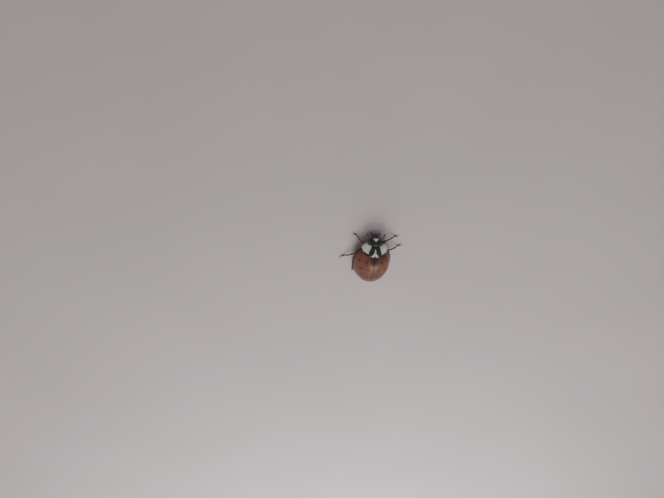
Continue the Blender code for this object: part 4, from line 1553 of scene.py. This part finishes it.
# Degrees from straight above the beetle, from its front towards its left side, and of roll.
CAMERA_FROM_VERTICAL, CAMERA_TURN, CAMERA_ROLL = 37.4, 19.9, 11.3
CAMERA_DISTANCE = 76.8  # from the point below
LOOKED_AT = np.array((0, -1.0, 1.2))
AIM_RIGHT, AIM_DOWN = 0.0723, 0.0123  # tangents: how far off the middle of the view that is
LIGHTS = (  # place and size in metres, colour, and whether the shell mirrors the light
    ("key", (-0.02, 0.035, 0.11), 0.06, (1.0, 0.985, 0.96), True),
    ("wash", (-0.008, 0.115, 0.065), 0.08, (1.0, 0.99, 0.98), False),
    ("front", (0.1, -0.25, 0.2), 0.2, (0.94, 0.97, 1.0), True),
)


def placed(name, data):
    """A new object in the scene that shows data."""
    obj = bpy.data.objects.new(name, data)
    bpy.context.scene.collection.objects.link(obj)
    return obj


def make_camera():
    """A camera over the beetle's head, looking back and down at it."""
    tilt, turn, roll = (math.radians(angle) for angle in (CAMERA_FROM_VERTICAL, CAMERA_TURN, CAMERA_ROLL))
    back = Vector((math.sin(tilt) * math.sin(turn), -math.sin(tilt) * math.cos(turn), math.cos(tilt)))
    ahead = Vector((0, -1, 0))
    level_up = (ahead - back * ahead.dot(back)).normalized()
    level_right = level_up.cross(back)
    up = math.cos(roll) * level_up - math.sin(roll) * level_right
    aim = Vector((AIM_RIGHT, -AIM_DOWN, -1)).normalized()
    off_middle = Vector((0, 0, -1)).rotation_difference(aim).to_matrix().inverted()
    turned = Matrix((up.cross(back), up, back)).transposed() @ off_middle
    camera = bpy.data.cameras.new("studio_camera")
    camera.sensor_width, camera.lens = SENSOR_WIDTH, LENS
    camera.clip_start, camera.clip_end = NEAREST_SEEN, FARTHEST_SEEN
    place = Vector(LOOKED_AT * MM + START) + back * CAMERA_DISTANCE * MM
    obj = placed("studio_camera", camera)
    obj.matrix_world = Matrix.Translation(place) @ turned.to_4x4()
    bpy.context.scene.camera = obj


def area_light(name, place, size, power, colour, mirrored_in_shell):
    """A soft square light that faces the beetle, from a place in metres."""
    light = bpy.data.lights.new(name, "AREA")
    light.size, light.energy, light.color = size, power, colour
    obj = placed(name, light)
    obj.visible_glossy = mirrored_in_shell
    place = Vector(place)
    obj.matrix_world = Matrix.Translation(place) @ place.to_track_quat("Z", "Y").to_matrix().to_4x4()


def make_studio(studio, colours):
    """Floor, soft lights, pale surroundings and camera."""
    half = studio.floor_size / 2
    mesh = bpy.data.meshes.new("studio_floor")
    corners = [(-half, -half, 0), (half, -half, 0), (half, half, 0), (-half, half, 0)]
    mesh.from_pydata(corners, [], [(0, 1, 2, 3)])
    mesh.materials.append(floor_finish(colours))
    placed("studio_floor", mesh)
    for name, place, size, colour, mirrored_in_shell in LIGHTS:
        power = getattr(studio, f"{name}_power")
        area_light(f"{name}_light", place, size, power, colour, mirrored_in_shell)
    world = bpy.data.worlds.new("soft_surroundings")
    bpy.context.scene.world = world
    world.use_nodes = True
    background = world.node_tree.nodes["Background"]
    background.inputs["Color"].default_value = (*colours.surroundings, 1)
    background.inputs["Strength"].default_value = studio.fill_strength
    make_camera()


# ---- What a user may change ----


def number_setting(name, description, default, **how):
    return bpy.props.FloatProperty(name=name, description=description, default=default, min=0.0, **how)


def length_setting(name, description, default):
    return number_setting(name, description, default, unit="LENGTH", precision=6)


def power_setting(name, description, default):
    return number_setting(name, description, default, unit="POWER")


def colour_setting(name, description, default):
    return bpy.props.FloatVectorProperty(
        name=name, description=description, default=default, min=0.0, max=1.0, subtype="COLOR"
    )


class LadybirdSizes(bpy.types.PropertyGroup):
    """Sizes of the ladybird's fine detail"""

    case_wall: length_setting("Wing Case Wall", "Thickness of a wing case", 0.00007)
    gutter_width: length_setting("Gutter Width", "Width of the flat margin of a wing case", 0.0001)
    seam_gap: length_setting("Seam Gap", "Gap between the closed wing cases", 0.000014)
    shield_wall: length_setting("Shield Wall", "Thickness of the shield behind the head", 0.00006)
    puncture_spacing: length_setting("Puncture Spacing", "Distance between the fine pits", 0.000058)
    facet_bulge: length_setting("Facet Bulge", "How far each facet of an eye stands out", 0.0000035)
    facet_fineness: bpy.props.IntProperty(
        name="Facet Fineness", description="How finely an eye is faceted", default=5, min=3, max=6
    )
    hair_length: length_setting("Hair Length", "Usual length of a hair", 0.00008)
    hair_thickness: length_setting("Hair Thickness", "Half the width of a hair at its root", 0.0000036)
    hair_density: number_setting("Hair Density", "Most hairs on a square metre of shell", 3.2e8)


class LadybirdColours(bpy.types.PropertyGroup):
    """Colours of the ladybird and its floor"""

    case: colour_setting("Wing Case", "Main colour of the wing cases", (0.215, 0.076, 0.044))
    case_deep: colour_setting("Wing Case Deep", "Deeper tone of the wing cases", (0.15, 0.05, 0.031))
    case_pale: colour_setting("Wing Case Pale", "Paler tone of the wing cases", (0.28, 0.115, 0.07))
    # Rim colour, also used as painted shade along the margin and in the seam.
    case_rim_and_shade: colour_setting("Wing Case Rim", "Rim of the wing cases", (0.06, 0.022, 0.014))
    # Painted shade at the front ends of the wing cases, by the shield.
    case_red_shade: colour_setting("Wing Case Red", "Tint of the wing cases' front ends", (0.085, 0.018, 0.016))
    # Painted shade over the rear of the wing cases.
    case_tail_shade: colour_setting("Wing Case Tail", "Browner tone of the wing cases' rear", (0.072, 0.04, 0.025))
    spot: colour_setting("Spot", "Faint spots on the wing cases", (0.055, 0.012, 0.01))
    base_spot: colour_setting("Base Spot", "Patch round the scutellum", (0.035, 0.022, 0.013))
    # Painted highlight: pale flecks right of the seam.
    glint_fleck: colour_setting("Scuff", "Pale flecks in the wax", (0.42, 0.25, 0.19))
    ivory: colour_setting("Ivory", "Pale parts of the shield", (0.72, 0.7, 0.62))
    ivory_deep: colour_setting("Ivory Deep", "Deeper tone of the pale parts", (0.6, 0.57, 0.49))
    # Dark rim colour, also used as painted shade along the shield's rim and in its pits.
    ivory_rim_and_shade: colour_setting("Ivory Rim", "Rim of the shield", (0.28, 0.22, 0.16))
    face: colour_setting("Face", "Pale triangle on the face", (0.8, 0.73, 0.8))
    black: colour_setting("Black", "Black shell", (0.0045, 0.005, 0.006))
    eye: colour_setting("Eye", "Facets of the eyes", (0.006, 0.0065, 0.009))
    belly: colour_setting("Belly", "Sides of the underside", (0.17, 0.06, 0.024))
    leg: colour_setting("Leg", "Legs and feelers", (0.15, 0.062, 0.032))
    joint: colour_setting("Joint", "Ends of each part of a leg", (0.055, 0.022, 0.014))
    horn: colour_setting("Horn", "Jaws, lips and claws", (0.085, 0.052, 0.052))
    hair: colour_setting("Hair", "Fine hairs", (0.5, 0.4, 0.24))
    floor: colour_setting("Floor", "Studio floor", (0.445, 0.383, 0.39))
    surroundings: colour_setting("Surroundings", "Light from all round", (0.95, 0.97, 1.0))


class LadybirdStudio(bpy.types.PropertyGroup):
    """Size of the studio's floor and strength of its lights"""

    floor_size: length_setting("Floor Size", "Side of the square floor", 6.0)
    key_power: power_setting("Key Power", "Power of the light above the beetle", 0.032)
    wash_power: power_setting("Wash Power", "Power of the low light behind the beetle", 0.24)
    front_power: power_setting("Front Power", "Power of the light in front", 0.02)
    fill_strength: number_setting("Fill Strength", "Strength of the light from all round", 0.4)


# ---- Operators ----

BEDS = {"leg": [], "feeler": [], "mouth": [], "belly": []}  # shells that hairs are to grow on
HAIRS = (  # a piece, its slot and its bed, and how long, leaning and dense its hairs are
    ("leg_hairs", "leg", "leg", 1.0, 1.1, 1.0),
    ("feeler_hairs", "leg", "feeler", 0.55, 0.9, 2.2),
    ("mouth_hairs", "black_shell", "mouth", 0.75, 0.8, 0.9),
    ("underside_hairs", "underside", "belly", 0.9, 1.4, 0.4),
)


def settings(context):
    return context.scene.ladybird_sizes, context.scene.ladybird_colours


class LADYBIRD_OT_wing_cases(bpy.types.Operator):
    """Make both wing cases, with their gutters, flaps and faint spots"""

    bl_idname = "ladybird.wing_cases"
    bl_label = "Wing Cases"

    def execute(self, context):
        make_wing_cases(*settings(context))
        return {"FINISHED"}


class LADYBIRD_OT_shield(bpy.types.Operator):
    """Make the ivory shield behind the head, with its black M"""

    bl_idname = "ladybird.shield"
    bl_label = "Shield"

    def execute(self, context):
        make_shield(*settings(context))
        return {"FINISHED"}


class LADYBIRD_OT_scutellum(bpy.types.Operator):
    """Make the small triangle between the bases of the wing cases"""

    bl_idname = "ladybird.scutellum"
    bl_label = "Scutellum"

    def execute(self, context):
        make_scutellum(*settings(context))
        return {"FINISHED"}


class LADYBIRD_OT_underside(bpy.types.Operator):
    """Make the breast, chest and belly with the seams between their plates"""

    bl_idname = "ladybird.underside"
    bl_label = "Underside"

    def execute(self, context):
        BEDS["belly"] = make_breast(*settings(context)) + make_trunk(*settings(context))
        return {"FINISHED"}


class LADYBIRD_OT_head(bpy.types.Operator):
    """Make the head capsule with its pale face"""

    bl_idname = "ladybird.head"
    bl_label = "Head"

    def execute(self, context):
        BEDS["mouth"] = make_head_capsule(*settings(context))
        return {"FINISHED"}


class LADYBIRD_OT_eyes(bpy.types.Operator):
    """Make both compound eyes out of their facets"""

    bl_idname = "ladybird.eyes"
    bl_label = "Eyes"

    def execute(self, context):
        make_eyes(*settings(context))
        return {"FINISHED"}


class LADYBIRD_OT_mouth(bpy.types.Operator):
    """Make the lips, jaws and small feelers of the mouth"""

    bl_idname = "ladybird.mouth"
    bl_label = "Mouth"

    def execute(self, context):
        BEDS["mouth"] = BEDS["mouth"] + make_mouth(context.scene.ladybird_colours)
        return {"FINISHED"}


class LADYBIRD_OT_feelers(bpy.types.Operator):
    """Make the clubbed feelers and the hatchet-shaped palps"""

    bl_idname = "ladybird.feelers"
    bl_label = "Feelers and Palps"

    def execute(self, context):
        colours = context.scene.ladybird_colours
        BEDS["feeler"] = make_feelers(colours) + make_palps(colours)
        return {"FINISHED"}


class LADYBIRD_OT_legs(bpy.types.Operator):
    """Make the six legs, from hip to claws"""

    bl_idname = "ladybird.legs"
    bl_label = "Legs"

    def execute(self, context):
        sizes, colours = settings(context)
        finishes = {
            "hip": underside_finish(colours, sizes),
            "leg": leg_finish(colours),
            "horn": horn_finish(colours),
        }
        BEDS["leg"] = []
        for leg, joints in LEGS.items():
            BEDS["leg"] += make_leg(leg, joints, finishes)
        return {"FINISHED"}


class LADYBIRD_OT_hairs(bpy.types.Operator):
    """Scatter fine hairs over the legs, feelers, mouth and underside"""

    bl_idname = "ladybird.hairs"
    bl_label = "Fine Hairs"

    def execute(self, context):
        sizes, colours = settings(context)
        finish = hair_finish(colours)
        for name, slot, bed, length, lean, density in HAIRS:
            make_hairs(name, slot, BEDS[bed], sizes, finish, length, lean, density)
        return {"FINISHED"}


class LADYBIRD_OT_studio(bpy.types.Operator):
    """Set up the floor, the soft lights and the camera"""

    bl_idname = "ladybird.studio"
    bl_label = "Studio"

    def execute(self, context):
        make_studio(context.scene.ladybird_studio, context.scene.ladybird_colours)
        return {"FINISHED"}


OPERATORS = (
    LADYBIRD_OT_wing_cases,
    LADYBIRD_OT_shield,
    LADYBIRD_OT_scutellum,
    LADYBIRD_OT_underside,
    LADYBIRD_OT_head,
    LADYBIRD_OT_eyes,
    LADYBIRD_OT_mouth,
    LADYBIRD_OT_feelers,
    LADYBIRD_OT_legs,
    LADYBIRD_OT_hairs,
    LADYBIRD_OT_studio,
)


class LADYBIRD_PT_pieces(bpy.types.Panel):
    """The ladybird's pieces, and their sizes and colours"""

    bl_idname = "LADYBIRD_PT_pieces"
    bl_label = "Harlequin Ladybird"
    bl_space_type = "VIEW_3D"
    bl_region_type = "UI"
    bl_category = "Ladybird"

    def draw(self, context):
        for operator in OPERATORS:
            self.layout.operator(operator.bl_idname)
        for group in (*settings(context), context.scene.ladybird_studio):
            box = self.layout.box()
            for name in group.bl_rna.properties.keys():
                if name not in ("rna_type", "name"):
                    box.prop(group, name)


GROUPS = {
    "ladybird_sizes": LadybirdSizes,
    "ladybird_colours": LadybirdColours,
    "ladybird_studio": LadybirdStudio,
}
CLASSES = (*GROUPS.values(), *OPERATORS, LADYBIRD_PT_pieces)


def register():
    for made in CLASSES:
        bpy.utils.register_class(made)
    for name, group in GROUPS.items():
        setattr(bpy.types.Scene, name, bpy.props.PointerProperty(type=group))


def unregister():
    for name in GROUPS:
        delattr(bpy.types.Scene, name)
    for made in reversed(CLASSES):
        bpy.utils.unregister_class(made)


def main():
    register()
    bpy.ops.ladybird.wing_cases()
    bpy.ops.ladybird.shield()
    bpy.ops.ladybird.scutellum()
    bpy.ops.ladybird.underside()
    bpy.ops.ladybird.head()
    bpy.ops.ladybird.eyes()
    bpy.ops.ladybird.mouth()
    bpy.ops.ladybird.feelers()
    bpy.ops.ladybird.legs()
    bpy.ops.ladybird.hairs()
    bpy.ops.ladybird.studio()


if __name__ == "__main__":
    main()
